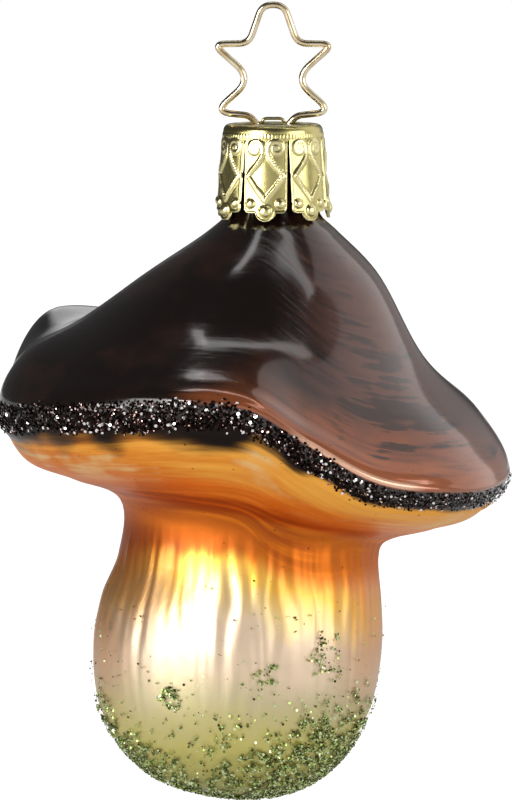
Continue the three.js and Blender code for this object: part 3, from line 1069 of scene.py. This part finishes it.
@dataclass
class Flakes:
    """Hexagonal flakes that are strewn over a surface."""

    name: str
    foils: Sequence[Foil]
    seed: int
    sides: int = 6
    batch: int = 240

    def build(
        self, places: np.ndarray, normals: np.ndarray, radii: Sequence[float], tilt: float
    ) -> bpy.types.Object:
        """Lays one flake at every place.

        Args:
            places: Millimetres, shaped (flakes, 3).
            normals: The surface's normals there.
            radii: The flakes' radii in millimetres.
            tilt: The largest tilt of a flake out of the surface, as a sine.

        Returns:
            The flakes as one piece.
        """
        chance = random.Random(self.seed)
        shares = [foil.share for foil in self.foils]
        mesh = bpy.data.meshes.new(self.name)
        whole = bmesh.new()
        for start in range(0, len(places), self.batch):
            part = bmesh.new()
            stretch = range(start, min(start + self.batch, len(places)))
            tints = chance.choices(range(len(self.foils)), shares, k=len(stretch))
            for k, tint in zip(stretch, tints):
                lean = Vector(chance.uniform(-tilt, tilt) for _ in range(3))
                facing = (Vector(normals[k]) + lean).normalized()
                turn = facing.to_track_quat("Z", "Y").to_matrix().to_4x4()
                spin = Matrix.Rotation(chance.uniform(0.0, math.pi), 4, "Z")
                bmesh.ops.create_circle(
                    part,
                    cap_ends=True,
                    segments=self.sides,
                    radius=radii[k] * self.foils[tint].size * MM,
                    matrix=Matrix.Translation(Vector(places[k]) * MM) @ turn @ spin,
                )
            for face, tint in zip(part.faces, tints):
                face.material_index = tint
            part.to_mesh(mesh)
            part.free()
            whole.from_mesh(mesh)
        bpy.data.meshes.remove(mesh)
        return new_piece(self.name, whole, [foil.material() for foil in self.foils], smooth=False)


@dataclass
class RimGlitter:
    """The strip of brown glitter along the brim."""

    form: GlassForm
    width: float = 3.4
    below_edge: float = 0.6
    thickness: float = 0.55
    least_lift: float = 0.12
    flakes: int = 9000
    tries: int = 6
    radii: Span = (0.13, 0.25)
    tilt: float = 0.55
    # Knots past the edge of the brim between which flakes are tried.
    knots: Span = (-0.15, 0.75)
    # Uneven sides: millimetres, and waves round the brim.
    waves: tuple[Span, Span] = ((0.25, 57.0), (0.2, 131.0))
    drift: float = 0.2
    # Places round the brim, 0 to 1 from +X: the even right, the raised left and the pinched middle.
    right: float = 0.93
    right_reach: Span = (0.2, 0.9)
    left: float = 0.6
    left_reach: Span = (0.3, 0.9)
    middle: Span = (0.695, 0.04)
    # At the right the strip frays less and its flakes are smaller; at the left both sides rise.
    right_calm: float = 0.6
    right_smaller: float = 0.3
    left_rise: Span = (0.5, 0.3)
    middle_dip: float = 0.45
    upper_fray: float = 0.4
    # Shares of the width: everywhere, and what the right and the middle take off.
    width_shares: Triple = (0.95, 0.25, 0.16)
    seed: int = 11
    # Name, tint, roughness, share, size and varnish.
    foils: tuple[Foil, ...] = (
        Foil("umber_foil", (0.010, 0.006, 0.005), 0.45, 0.66, 1.0, 0.0),
        Foil("bronze_foil", (0.30, 0.17, 0.15), 0.14, 0.25, 0.55),
        Foil("rose_silver_foil", (0.97, 0.92, 0.90), 0.12, 0.09, 1.0),
    )

    def build(self) -> bpy.types.Object:
        """Strews the flakes over the strip.

        Returns:
            The strip.
        """
        rng = np.random.default_rng(self.seed)
        start, stop = (self.form.edge_station + knot for knot in self.knots)
        around = rng.uniform(0.0, 1.0, self.tries * self.flakes)
        along = rng.uniform(start, stop, self.tries * self.flakes)
        below = self.form.arc(around, along)
        _, area = self.form.normals(around, along)
        right = ramp(np.cos(2 * math.pi * (around - self.right)), *self.right_reach)
        below = below + rng.normal(0.0, self.drift, len(below)) * (1 - self.right_calm * right)
        low, high = self._sides(around, right)
        inside = (below > low) & (below < high)
        kept = np.flatnonzero(inside & (rng.uniform(0.0, area.max(), len(area)) < area))[: self.flakes]
        around, along = around[kept], along[kept]
        normals, _ = self.form.normals(around, along)
        lift = rng.uniform(self.least_lift, self.thickness, len(kept))
        places = self.form.points(around, along) + normals * lift[:, None]
        radii = rng.uniform(*self.radii, len(kept)) * (1 - self.right_smaller * right[kept])
        piece = Flakes("brim_glitter", self.foils, self.seed).build(places, normals, radii, self.tilt)
        ride(piece, Body.GLASS, "brown_glitter", "rim_glitter_band")
        return piece

    def _sides(self, around: np.ndarray, right: np.ndarray) -> tuple[np.ndarray, np.ndarray]:
        """The strip's two frayed sides.

        Args:
            around: Where the flakes lie round the brim, 0 to 1.
            right: How far each belongs to the right, 0 to 1.

        Returns:
            Millimetres below the edge of the brim to the strip's upper and lower side.
        """
        fray = [size * np.sin(count * around + k) for k, (size, count) in enumerate(self.waves)]
        fray = sum(fray) * (1 - self.right_calm * right)
        left = ramp(np.cos(2 * math.pi * (around - self.left)), *self.left_reach)
        middle = bell(around, *self.middle)
        upper_rise, lower_rise = self.left_rise
        low = self.below_edge - upper_rise * left + self.middle_dip * middle + self.upper_fray * fray
        full, less_right, less_middle = self.width_shares
        wide = self.width * (full - less_right * right - less_middle * middle)
        return low, self.below_edge - lower_rise * left + wide + fray


@dataclass
class MossGlitter:
    """Green glitter over the bottom of the stem and in islands above it."""

    form: GlassForm
    candidates: int = 300000
    thickness: float = 0.5
    least_lift: float = 0.1
    radii: Span = (0.10, 0.19)
    tilt: float = 0.7
    # Knots past the throat, and short of the bottom, between which flakes are tried.
    head: float = 0.8
    pole: float = 0.004
    rise: float = 2.8
    # Where the cover climbs: degrees round the stem, millimetres and degrees of spread.
    climbs: tuple[Triple, ...] = ((-40, 10, 36), (-162, 6, 26), (95, 5, 60))
    # Noises: scale for each millimetre, and shift of the origin.
    coarse_noise: tuple[float, Triple] = (0.22, (0.0, 0.0, 0.0))
    fine_noise: tuple[float, Triple] = (0.75, (7.0, 3.0, 1.0))
    crumb_noise: tuple[float, Triple] = (1.1, (2.0, 9.0, 4.0))
    crumb_levels: Span = (-0.16, 0.06)
    clump_levels: Span = (0.22, 0.40)
    # How far the coarse and the fine noise fray the edge, in millimetres, and an island, in shares of it.
    edge_fray: Span = (5.0, 7.0)
    island_fray: Span = (0.3, 1.2)
    least_cover: float = 0.08
    # Millimetres past the climbing edge, and above the bottom, over which cover, clumps and dust thin out.
    edge_fade: Span = (1.2, -1.6)
    clump_fade: Span = (14.0, 8.0)
    clump_share: float = 0.6
    dust_fade: Span = (34.0, 12.0)
    dust_levels: Span = (-0.1, 0.4)
    dust_share: float = 0.02
    # Islands: least half size in millimetres, the half height of a tall one, and shares of the half size.
    least_island: float = 1.5
    tall_island: float = 2.0
    tall_share: float = 0.45
    island_fade: Span = (1.15, 0.75)
    hollow_fade: Span = (0.75, 0.35)
    hollow_share: float = 0.85
    seed: int = 23
    # Name, tint, roughness, share, size and varnish.
    foils: tuple[Foil, ...] = (
        Foil("moss_foil", (0.13, 0.155, 0.035), 0.3, 0.28, 1.0, 0.2),
        Foil("leaf_foil", (0.42, 0.53, 0.16), 0.3, 0.40, 1.0, 0.2),
        Foil("mint_foil", (0.70, 0.82, 0.46), 0.3, 0.24, 1.0, 0.2),
        Foil("bark_foil", (0.045, 0.034, 0.012), 0.3, 0.08, 1.0, 0.2),
    )

    def build(self) -> bpy.types.Object:
        """Strews the flakes where the density says.

        Returns:
            The glitter.
        """
        rng = np.random.default_rng(self.seed)
        start, end = self.form.throat_station + self.head, self.form.spans - self.pole
        around = rng.uniform(0.0, 1.0, self.candidates)
        along = rng.uniform(start, end, self.candidates)
        normals, area = self.form.normals(around, along)
        places = self.form.points(around, along)
        even = rng.uniform(0.0, area.max(), self.candidates) < area
        kept = np.flatnonzero(even & (rng.uniform(0.0, 1.0, self.candidates) < self._density(places)))
        lift = rng.uniform(self.least_lift, self.thickness, len(kept))
        radii = rng.uniform(*self.radii, len(kept))
        laid = places[kept] + normals[kept] * lift[:, None]
        piece = Flakes("moss_glitter", self.foils, self.seed).build(laid, normals[kept], radii, self.tilt)
        ride(piece, Body.GLASS, "green_glitter", "moss_base", *self._islands())
        return piece

    @staticmethod
    def _islands() -> list[str]:
        """The names of the islands' nodes."""
        return [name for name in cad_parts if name.startswith("moss_patch_")]

    def _density(self, places: np.ndarray) -> np.ndarray:
        """How thickly the glitter lies.

        Args:
            places: Points on the stem in millimetres.

        Returns:
            0 for bare glass to 1 for full cover.
        """
        coarse, fine, crumbs = (
            noise_at(places, *pattern) for pattern in (self.coarse_noise, self.fine_noise, self.crumb_noise)
        )
        height = places[:, 2] - (self.form.lip - self.form.height)
        turn = np.degrees(np.arctan2(places[:, 1], places[:, 0] - self.form.stem_offset))
        rise = np.full_like(height, self.rise)
        for way, climb, spread in self.climbs:
            rise += climb * bell((turn - way + 180) % 360 - 180, 0.0, spread)
        broad, narrow = self.edge_fray
        cover = ramp(height - rise + broad * coarse + narrow * fine, *self.edge_fade)
        broad, narrow = self.island_fray
        for name in self._islands():
            low, high = (np.array(corner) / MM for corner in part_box(name))
            reach = np.maximum((high - low) / 2, self.least_island)
            tall = reach[2] > self.tall_island
            away = np.linalg.norm((places - (low + high) / 2) / reach, axis=1)
            hollow = self.hollow_share * ramp(away, *self.hollow_fade) * tall
            island = ramp(away + narrow * fine + broad * coarse, *self.island_fade) * (1 - hollow)
            cover = np.maximum(cover, island * (self.tall_share if tall else 1.0))
        dust = self.dust_share * ramp(height, *self.dust_fade) * ramp(coarse, *self.dust_levels)
        dust += self.clump_share * ramp(crumbs, *self.clump_levels) * ramp(height, *self.clump_fade)
        crumbled = self.least_cover + (1 - self.least_cover) * ramp(crumbs, *self.crumb_levels)
        return np.clip(cover * crumbled + dust, 0.0, 1.0)


@dataclass
class CrownCap:
    """The stamped crown: a round top that bends into slit, embossed petals."""

    finish: StampedBrass
    top: float = -14.3
    radius: float = 6.2
    sheet: float = 0.35
    petals: int = 7
    turn: float = -8.5
    height: float = 10.7
    lobe: float = 1.05
    lobe_half_width: float = 0.42
    corner: float = 0.5
    corner_share: float = 0.2
    slit_top: float = 0.22
    slit_foot: float = 0.75
    slit_below_top: float = 1.7
    slit_end: float = 0.25
    bend: float = 0.85
    flare: float = 0.75
    spread: float = 0.06
    hole_out: float = 1.925
    hole_radius: float = 0.825
    hole_sides: int = 28
    bridge_width: float = 1.1
    bridge_rise: float = 0.42
    bridge_lift: float = 0.05
    bridge_overlap: float = 0.15
    bridge_squareness: int = 10
    bridge_columns: int = 16
    bridge_rows: int = 6
    columns: int = 52
    bend_rows: int = 6
    skirt_rows: int = 100
    relief_start: float = 0.02
    # Fluting under the edge of the top: flutes on a petal, and millimetres below the top.
    flutes: int = 13
    flute_height: float = 0.07
    flute_top: Span = (1.0, 1.12)
    flute_foot: Span = (1.62, 1.5)
    # Scrolls, in millimetres from the petal's middle and below the top.
    curl_middle: Span = (1.32, 2.75)
    curl_start: float = 0.12
    curl_growth: float = 0.88
    curl_turn: float = 9.1
    curl_steps: int = 40
    strap: tuple[Span, ...] = ((0.36, 3.4), (0.62, 4.1), (1.1, 4.8), (1.7, 5.5), (2.2, 6.15))
    lozenge_foot: Span = (0.0, 9.2)
    strap_height: float = 0.16
    strap_half_width: float = 0.34
    # Rows of beads: where each begins and ends, and its number of beads.
    bead_rows: tuple[tuple[Span, Span, int], ...] = (
        ((0.42, 3.6), (1.95, 5.8), 9),
        ((1.95, 6.3), (0.15, 8.8), 10),
    )
    bead_height: float = 0.30
    bead_radii: Span = (0.19, 0.04)
    # Pearls: millimetres from the middle and below the top, and radius.
    pearls: tuple[Triple, ...] = ((1.8, 9.55, 0.6), (0.0, 10.45, 0.78))
    pearl_height: float = 0.62
    rim_height: float = 0.1
    rim_widths: Span = (0.26, 0.1)
    rim_top: Span = (1.8, 2.2)
    petal_half_width: float = 2.7

    def build(self) -> bpy.types.Object:
        """Shapes the petals from grids, joins them above the slits, and closes the top.

        Returns:
            The crown.
        """
        bm = bmesh.new()
        layer = bm.verts.layers.float.new("relief")
        rows = self.bend_rows + self.skirt_rows
        for petal in range(self.petals):
            made = bmesh.ops.create_grid(bm, x_segments=self.columns, y_segments=rows, size=0.5)
            flat = np.array([vert.co[:] for vert in made["verts"]])
            places, relief = self._petal(flat[:, 0] * 2.0, (0.5 - flat[:, 1]) * rows, petal)
            for vert, place, raised in zip(made["verts"], places * MM, relief):
                vert.co = place
                vert[layer] = raised
        bmesh.ops.remove_doubles(bm, verts=bm.verts[:], dist=SEAM)
        self._close_top(bm)
        self._add_bridge(bm)
        bmesh.ops.recalc_face_normals(bm, faces=bm.faces[:])
        piece = new_piece("stamped_crown", bm, [self.finish.material()])
        give_wall(piece, self.sheet)
        ride(piece, Body.CROWN, "crown_brass", "crown_cap")
        return piece

    def _petal(
        self, across: np.ndarray, row: np.ndarray, petal: int
    ) -> tuple[np.ndarray, np.ndarray]:
        """Places of one petal's grid, from the edge of the top to the lobes.

        Args:
            across: -1 at one side of the petal to 1 at the other.
            row: The grid row, 0 at the edge of the top.
            petal: The petal's number.

        Returns:
            Points in millimetres, and how far the stamp raises each.
        """
        lobe = self.lobe * self._dome(across, self.lobe_half_width)
        corner = self.corner * np.maximum(0.0, 1 - (1 - np.abs(across)) / self.corner_share) ** 2
        foot = self.height + lobe - corner
        bent = np.clip(row / self.bend_rows, 0.0, 1.0) * math.pi / 2
        share = np.clip((row - self.bend_rows) / self.skirt_rows, 0.0, 1.0)
        drop = self.bend + (foot - self.bend) * share
        down = (drop - self.bend) / (self.height - self.bend)
        pitch = 2 * math.pi / self.petals
        slit = (self.slit_top + (self.slit_foot - self.slit_top) * down) / self.radius
        slit = slit * ramp(drop, self.slit_below_top, self.slit_below_top + self.slit_end)
        angle = across * (pitch - slit) / 2
        raised = self._emboss(angle * self.radius * (1 + self.spread * down), drop, across, foot)
        raised = raised * ramp(share, 0.0, self.relief_start)
        reach = self.radius - self.bend + self.bend * np.sin(bent) + self.flare * down + raised
        level = self.top - np.where(share > 0, drop, self.bend * (1 - np.cos(bent)))
        azimuth = math.radians(self.turn - 90.0) + petal * pitch + angle
        return np.stack([reach * np.cos(azimuth), reach * np.sin(azimuth), level], axis=1), raised

    def _emboss(
        self, side: np.ndarray, drop: np.ndarray, across: np.ndarray, foot: np.ndarray
    ) -> np.ndarray:
        """The stamped ornament: fluting, two scrolls, a beaded lozenge and three pearls.

        Args:
            side: Millimetres from the petal's middle.
            drop: Millimetres below the top.
            across: -1 at one side of the petal to 1 at the other.
            foot: Where the petal ends.

        Returns:
            Millimetres that the sheet is raised.
        """
        out = np.abs(side)
        flutes = 0.5 + 0.5 * np.cos(side * self.flutes * self.petals / self.radius)
        raised = self.flute_height * flutes * ramp(drop, *self.flute_top) * ramp(drop, *self.flute_foot)
        strap = [*self._curl(), *self.strap]
        band = [self.strap[-1], self.lozenge_foot]
        gap = np.minimum(self._gap(out, drop, strap), self._gap(out, drop, band))
        raised = np.maximum(raised, self.strap_height * self._dome(gap, self.strap_half_width))
        for first, last, count in self.bead_rows:
            for x, y in np.linspace(first, last, count):
                away = np.hypot(out - x, drop - y)
                raised = np.maximum(raised, self.bead_height * ramp(away, *self.bead_radii))
        for x, y, size in self.pearls:
            away = np.hypot(out - x, drop - y)
            raised = np.maximum(raised, self.pearl_height * size * self._dome(away, size))
        edge = np.minimum((1 - np.abs(across)) * self.petal_half_width, foot - drop)
        rim = self.rim_height * ramp(edge, *self.rim_widths) * ramp(drop, *self.rim_top)
        return np.maximum(raised, rim)

    def _curl(self) -> list[Span]:
        """Winds the curl of a scroll.

        Returns:
            Its points from its middle outwards, in millimetres from the petal's middle and below the top.
        """
        points = []
        for k in range(self.curl_steps + 1):
            share = k / self.curl_steps
            reach = self.curl_start + self.curl_growth * share
            turn = self.curl_turn * (share - 1)
            x, y = self.curl_middle
            points.append((x - reach * math.cos(turn), y + reach * math.sin(turn)))
        return points

    @staticmethod
    def _dome(away: np.ndarray, radius: float) -> np.ndarray:
        """The round height, 0 to 1, at a distance from its middle."""
        return np.sqrt(np.maximum(0.0, 1 - (away / radius) ** 2))

    @staticmethod
    def _gap(x: np.ndarray, y: np.ndarray, line: Sequence[Span]) -> np.ndarray:
        """The distance from points to a line of straight runs.

        Args:
            x: The points' first coordinates.
            y: Their second coordinates.
            line: The line's corners.

        Returns:
            The distances.
        """
        nearest = np.full_like(x, np.inf)
        for (ax, ay), (bx, by) in zip(line, line[1:]):
            dx, dy = bx - ax, by - ay
            share = np.clip(((x - ax) * dx + (y - ay) * dy) / (dx * dx + dy * dy), 0.0, 1.0)
            nearest = np.minimum(nearest, np.hypot(x - ax - share * dx, y - ay - share * dy))
        return nearest

    def _close_top(self, bm: bmesh.types.BMesh) -> None:
        """Fills the round top, leaving the two wire holes open.

        Args:
            bm: The crown's mesh.
        """
        level = self.top * MM
        edges = [
            edge
            for edge in bm.edges
            if edge.is_boundary and all(abs(vert.co.z - level) < TOUCH for vert in edge.verts)
        ]
        for sign in (-1, 1):
            at = Matrix.Translation((sign * self.hole_out * MM, 0.0, level))
            radius = self.hole_radius * MM
            hole = bmesh.ops.create_circle(bm, segments=self.hole_sides, radius=radius, matrix=at)
            edges += list({edge for vert in hole["verts"] for edge in vert.link_edges})
        bmesh.ops.triangle_fill(bm, use_beauty=True, edges=edges, normal=(0.0, 0.0, 1.0))

    def _add_bridge(self, bm: bmesh.types.BMesh) -> None:
        """Adds the strip that is lanced up between the wire holes.

        Args:
            bm: The crown's mesh.
        """
        grid = {"x_segments": self.bridge_columns, "y_segments": self.bridge_rows, "size": 0.5}
        strip = bmesh.ops.create_grid(bm, **grid)
        reach = self.hole_out - self.hole_radius + self.bridge_overlap
        for vert in strip["verts"]:
            x, y = vert.co.x * 2 * reach, vert.co.y * self.bridge_width
            arch = 1 - abs(vert.co.x * 2) ** self.bridge_squareness
            vert.co = Vector((x, y, self.top + self.bridge_lift + self.bridge_rise * arch)) * MM


@dataclass
class StarHanger:
    """The wire hanger: a five-pointed star above the crown, and two legs down into the neck."""

    finish: DrawnWire
    wire_radius: float = 0.425
    to_crown: float = 14.3
    half_width: float = 7.5
    bend: float = 1.25
    top_out: float = 1.35
    wire_facets: int = 5
    bend_steps: int = 10
    # Shares of the half width, of the way down to the crown and of the bend.
    corners: tuple[Triple, ...] = (
        (0.4, 0.304, 1),
        (1, 0.31, 1.3),
        (0.35, 0.612, 2.1),
        (0.973, 0.9, 1.75),
    )
    # Millimetres out, millimetres above the crown, and the run that the bend takes up.
    leg: tuple[Triple, ...] = (
        (2.9, 1.0, 0.8),
        (1.75, -0.35, 0.5),
        (3.925, -4.7, 1.2),
        (3.925, -14.2, 0.0),
    )

    def build(self) -> bpy.types.Object:
        """Sweeps the wire along its bends.

        Returns:
            The hanger.
        """
        half = [(self.top_out, self.wire_radius, self.bend)]
        half += [
            (out * self.half_width, -down * self.to_crown, bend * self.bend)
            for out, down, bend in self.corners
        ]
        half += [(out, up - self.to_crown, bend) for out, up, bend in self.leg]
        route = [(-x, z, bend) for x, z, bend in reversed(half)] + half
        curve = bpy.data.curves.new("wire_route", "CURVE")
        curve.dimensions = "3D"
        curve.bevel_depth = self.wire_radius * MM
        curve.bevel_resolution = self.wire_facets
        curve.resolution_u = self.bend_steps
        curve.use_fill_caps = True
        self._lay(curve.splines.new("BEZIER"), route)
        holder = bpy.data.objects.new("wire_route", curve)
        bpy.context.scene.collection.objects.link(holder)
        mesh = bpy.data.meshes.new_from_object(holder)
        bpy.data.objects.remove(holder)
        bm = bmesh.new()
        bm.from_mesh(mesh)
        bpy.data.meshes.remove(mesh)
        bmesh.ops.remove_doubles(bm, verts=bm.verts[:], dist=TOUCH)
        bmesh.ops.recalc_face_normals(bm, faces=bm.faces[:])
        piece = new_piece("wire_star", bm, [self.finish.material()])
        ride(piece, Body.HANGER, "hanger_wire", "star_hanger")
        return piece

    @staticmethod
    def _lay(spline: bpy.types.Spline, route: Sequence[Triple]) -> None:
        """Gives a spline straight runs and round bends.

        Args:
            spline: A new Bezier spline.
            route: Corners as millimetres across, millimetres up, and the run that each bend takes up.
        """
        handle = 2 / 3
        points = [Vector((x, 0.0, z)) * MM for x, z, _ in route]
        knots: list[tuple[Vector, Vector, Vector]] = [(points[0],) * 3]
        for k, (_, _, bend) in enumerate(route[1:-1], start=1):
            corner = points[k]
            before = corner + (points[k - 1] - corner).normalized() * bend * MM
            after = corner + (points[k + 1] - corner).normalized() * bend * MM
            knots.append((before, before, before.lerp(corner, handle)))
            knots.append((after.lerp(corner, handle), after, after))
        knots.append((points[-1],) * 3)
        spline.bezier_points.add(len(knots) - 1)
        for knot, (left, place, right) in zip(spline.bezier_points, knots):
            knot.handle_left_type = knot.handle_right_type = "FREE"
            knot.co, knot.handle_left, knot.handle_right = place, left, right


@dataclass(frozen=True)
class SoftBox:
    """A soft box that faces the ornament.

    Its way is in degrees to the right of the camera and up, its distance and size in metres. Brightness
    is how bright its face looks, where 1 is white, and roll turns it about the line to the ornament.
    """

    name: str
    way: Span
    distance: float
    size: Span
    brightness: float
    roll: float = 0.0


@dataclass
class Studio:
    """A pale floor, soft boxes, a white backdrop and the camera."""

    target: Triple = (-0.002125, 0.0, -0.048875)
    elevation: float = 6.0
    distance: float = 0.70
    lens: float = 252.0
    near: float = 0.01
    floor_level: float = -0.150
    floor_size: float = 3.0
    floor_grey: Colour = (0.60, 0.60, 0.60)
    # The floor's own light for the camera: near the ornament, and metres over which it rises to white.
    floor_glow: float = 0.72
    floor_fade: Span = (0.2, 0.5)
    floor_mirrored: float = 0.3
    white: Colour = (1.0, 1.0, 1.0)
    # The room's light: all round, from the right, from a card behind and from the front.
    room: float = 0.06
    wall: float = 0.28
    card: float = 0.8
    front: float = 0.45
    # How far a direction points to the right, behind and up where each of these lights fades in.
    wall_right: Span = (0.15, 0.5)
    wall_up: Span = (0.9, 0.6)
    card_right: Span = (0.24, 0.10)
    card_behind: Span = (0.1, 0.3)
    card_up: Window = ((0.75, 0.5), (0.1, 0.3))
    front_behind: Span = (-0.35, -0.8)
    front_up: Span = (0.36, 0.18)
    # Name, way, distance, size, brightness and roll.
    boxes: tuple[SoftBox, ...] = (
        SoftBox("key_box", (-44.0, 13.0), 0.9, (0.50, 0.60), 4.0),
        SoftBox("low_box", (-69.0, 1.0), 0.9, (0.32, 0.22), 5.5),
        SoftBox("spark_box", (-33.0, 17.0), 0.9, (0.22, 0.38), 12.0),
        SoftBox("fill_box", (58.0, 11.0), 0.9, (0.60, 0.46), 2.8),
        SoftBox("side_box", (116.0, 28.0), 1.0, (0.9, 1.3), 0.62),
        SoftBox("top_box", (86.0, 75.8), 0.85, (0.76, 0.09), 2.3, 63.5),
        SoftBox("back_box", (-128.0, 77.5), 0.85, (0.16, 0.07), 2.8),
    )

    def build(self) -> None:
        """Sets up the studio round the ornament."""
        self._camera()
        self._floor()
        self._world()
        for box in self.boxes:
            self._hang(box)
        bpy.context.scene.view_settings.view_transform = "Standard"

    @staticmethod
    def _direction(azimuth: float, elevation: float) -> Vector:
        """The way to a place seen from the ornament, in degrees to the right of the camera and up."""
        turn, rise = math.radians(azimuth), math.radians(elevation)
        return Vector((math.sin(turn) * math.cos(rise), -math.cos(turn) * math.cos(rise), math.sin(rise)))

    def _camera(self) -> None:
        """Sets the camera at the photograph's angle."""
        data = bpy.data.cameras.new("camera")
        data.lens = self.lens
        data.clip_start = self.near
        camera = bpy.data.objects.new("camera", data)
        away = self._direction(0.0, self.elevation)
        camera.location = Vector(self.target) + away * self.distance
        camera.rotation_euler = away.to_track_quat("Z", "Y").to_euler()
        bpy.context.scene.collection.objects.link(camera)
        bpy.context.scene.camera = camera

    def _floor(self) -> None:
        """Lays the pale floor."""
        bm = bmesh.new()
        at = Matrix.Translation((0.0, 0.0, self.floor_level))
        bmesh.ops.create_grid(bm, x_segments=2, y_segments=2, size=self.floor_size, matrix=at)
        material, graph = new_material("pale_floor")
        path = graph.node("ShaderNodeLightPath")
        mirrored = graph.signal(path, "Is Glossy Ray").highest(graph.signal(path, "Is Transmission Ray"))
        metres = graph.node("ShaderNodeTexCoord").outputs["Object"]
        length = graph.node("ShaderNodeVectorMath", {"operation": "LENGTH"}, {0: metres})
        far = graph.signal(length, "Value").rise(*self.floor_fade)
        seen = graph.signal(path, "Is Camera Ray") * (self.floor_glow + (1 - self.floor_glow) * far)
        paper = graph.node("ShaderNodeBsdfDiffuse", None, {"Color": self.floor_grey})
        glow = {"Color": self.white, "Strength": seen + self.floor_mirrored * mirrored}
        lift = graph.node("ShaderNodeEmission", None, glow)
        both = graph.node("ShaderNodeAddShader", None, {0: paper.outputs[0], 1: lift.outputs[0]})
        graph.node("ShaderNodeOutputMaterial", None, {"Surface": both.outputs[0]})
        floor = new_piece("floor", bm, [material])

    def _world(self) -> None:
        """Makes a dim room with a white backdrop, which the camera sees as plain white."""
        world = bpy.data.worlds.new("studio")
        world.use_nodes = True
        bpy.context.scene.world = world
        graph = Graph(world.node_tree)
        way = graph.node("ShaderNodeTexCoord").outputs["Generated"]
        axes = graph.node("ShaderNodeSeparateXYZ", None, {0: way})
        right, behind, up = (graph.signal(axes, axis) for axis in "XYZ")
        wall = right.rise(*self.wall_right) * up.rise(*self.wall_up)
        card = right.size().rise(*self.card_right) * behind.rise(*self.card_behind)
        card = card * up.window(*self.card_up)
        front = behind.rise(*self.front_behind) * up.rise(*self.front_up)
        room = self.room + self.wall * wall + self.card * card + self.front * front
        seen = graph.signal(graph.node("ShaderNodeLightPath"), "Is Camera Ray")
        glow = {"Color": self.white, "Strength": room.highest(seen)}
        light = graph.node("ShaderNodeBackground", None, glow)
        graph.node("ShaderNodeOutputWorld", None, {"Surface": light.outputs[0]})

    def _hang(self, box: SoftBox) -> None:
        """Hangs one soft box.

        Args:
            box: The soft box.
        """
        data = bpy.data.lights.new(box.name, "AREA")
        data.shape = "RECTANGLE"
        data.size, data.size_y = box.size
        data.energy = box.brightness * math.pi * box.size[0] * box.size[1]
        lamp = bpy.data.objects.new(box.name, data)
        away = self._direction(*box.way)
        lamp.location = Vector(self.target) + away * box.distance
        level = away.to_track_quat("Z", "Y").to_matrix()
        lamp.rotation_euler = (level @ Matrix.Rotation(math.radians(box.roll), 3, "Z")).to_euler()
        lamp.visible_camera = False
        bpy.context.scene.collection.objects.link(lamp)


def main() -> None:
    """Builds the ornament's pieces and the studio round them."""
    logging.basicConfig(level=logging.INFO, format="%(name)s: %(message)s")
    form = GlassForm()
    StarHanger(DrawnWire()).build()
    CrownCap(StampedBrass()).build()
    GlassBody(form, GlassLacquer()).build()
    RimGlitter(form).build()
    MossGlitter(form).build()
    Studio().build()


if __name__ == "__main__":
    main()
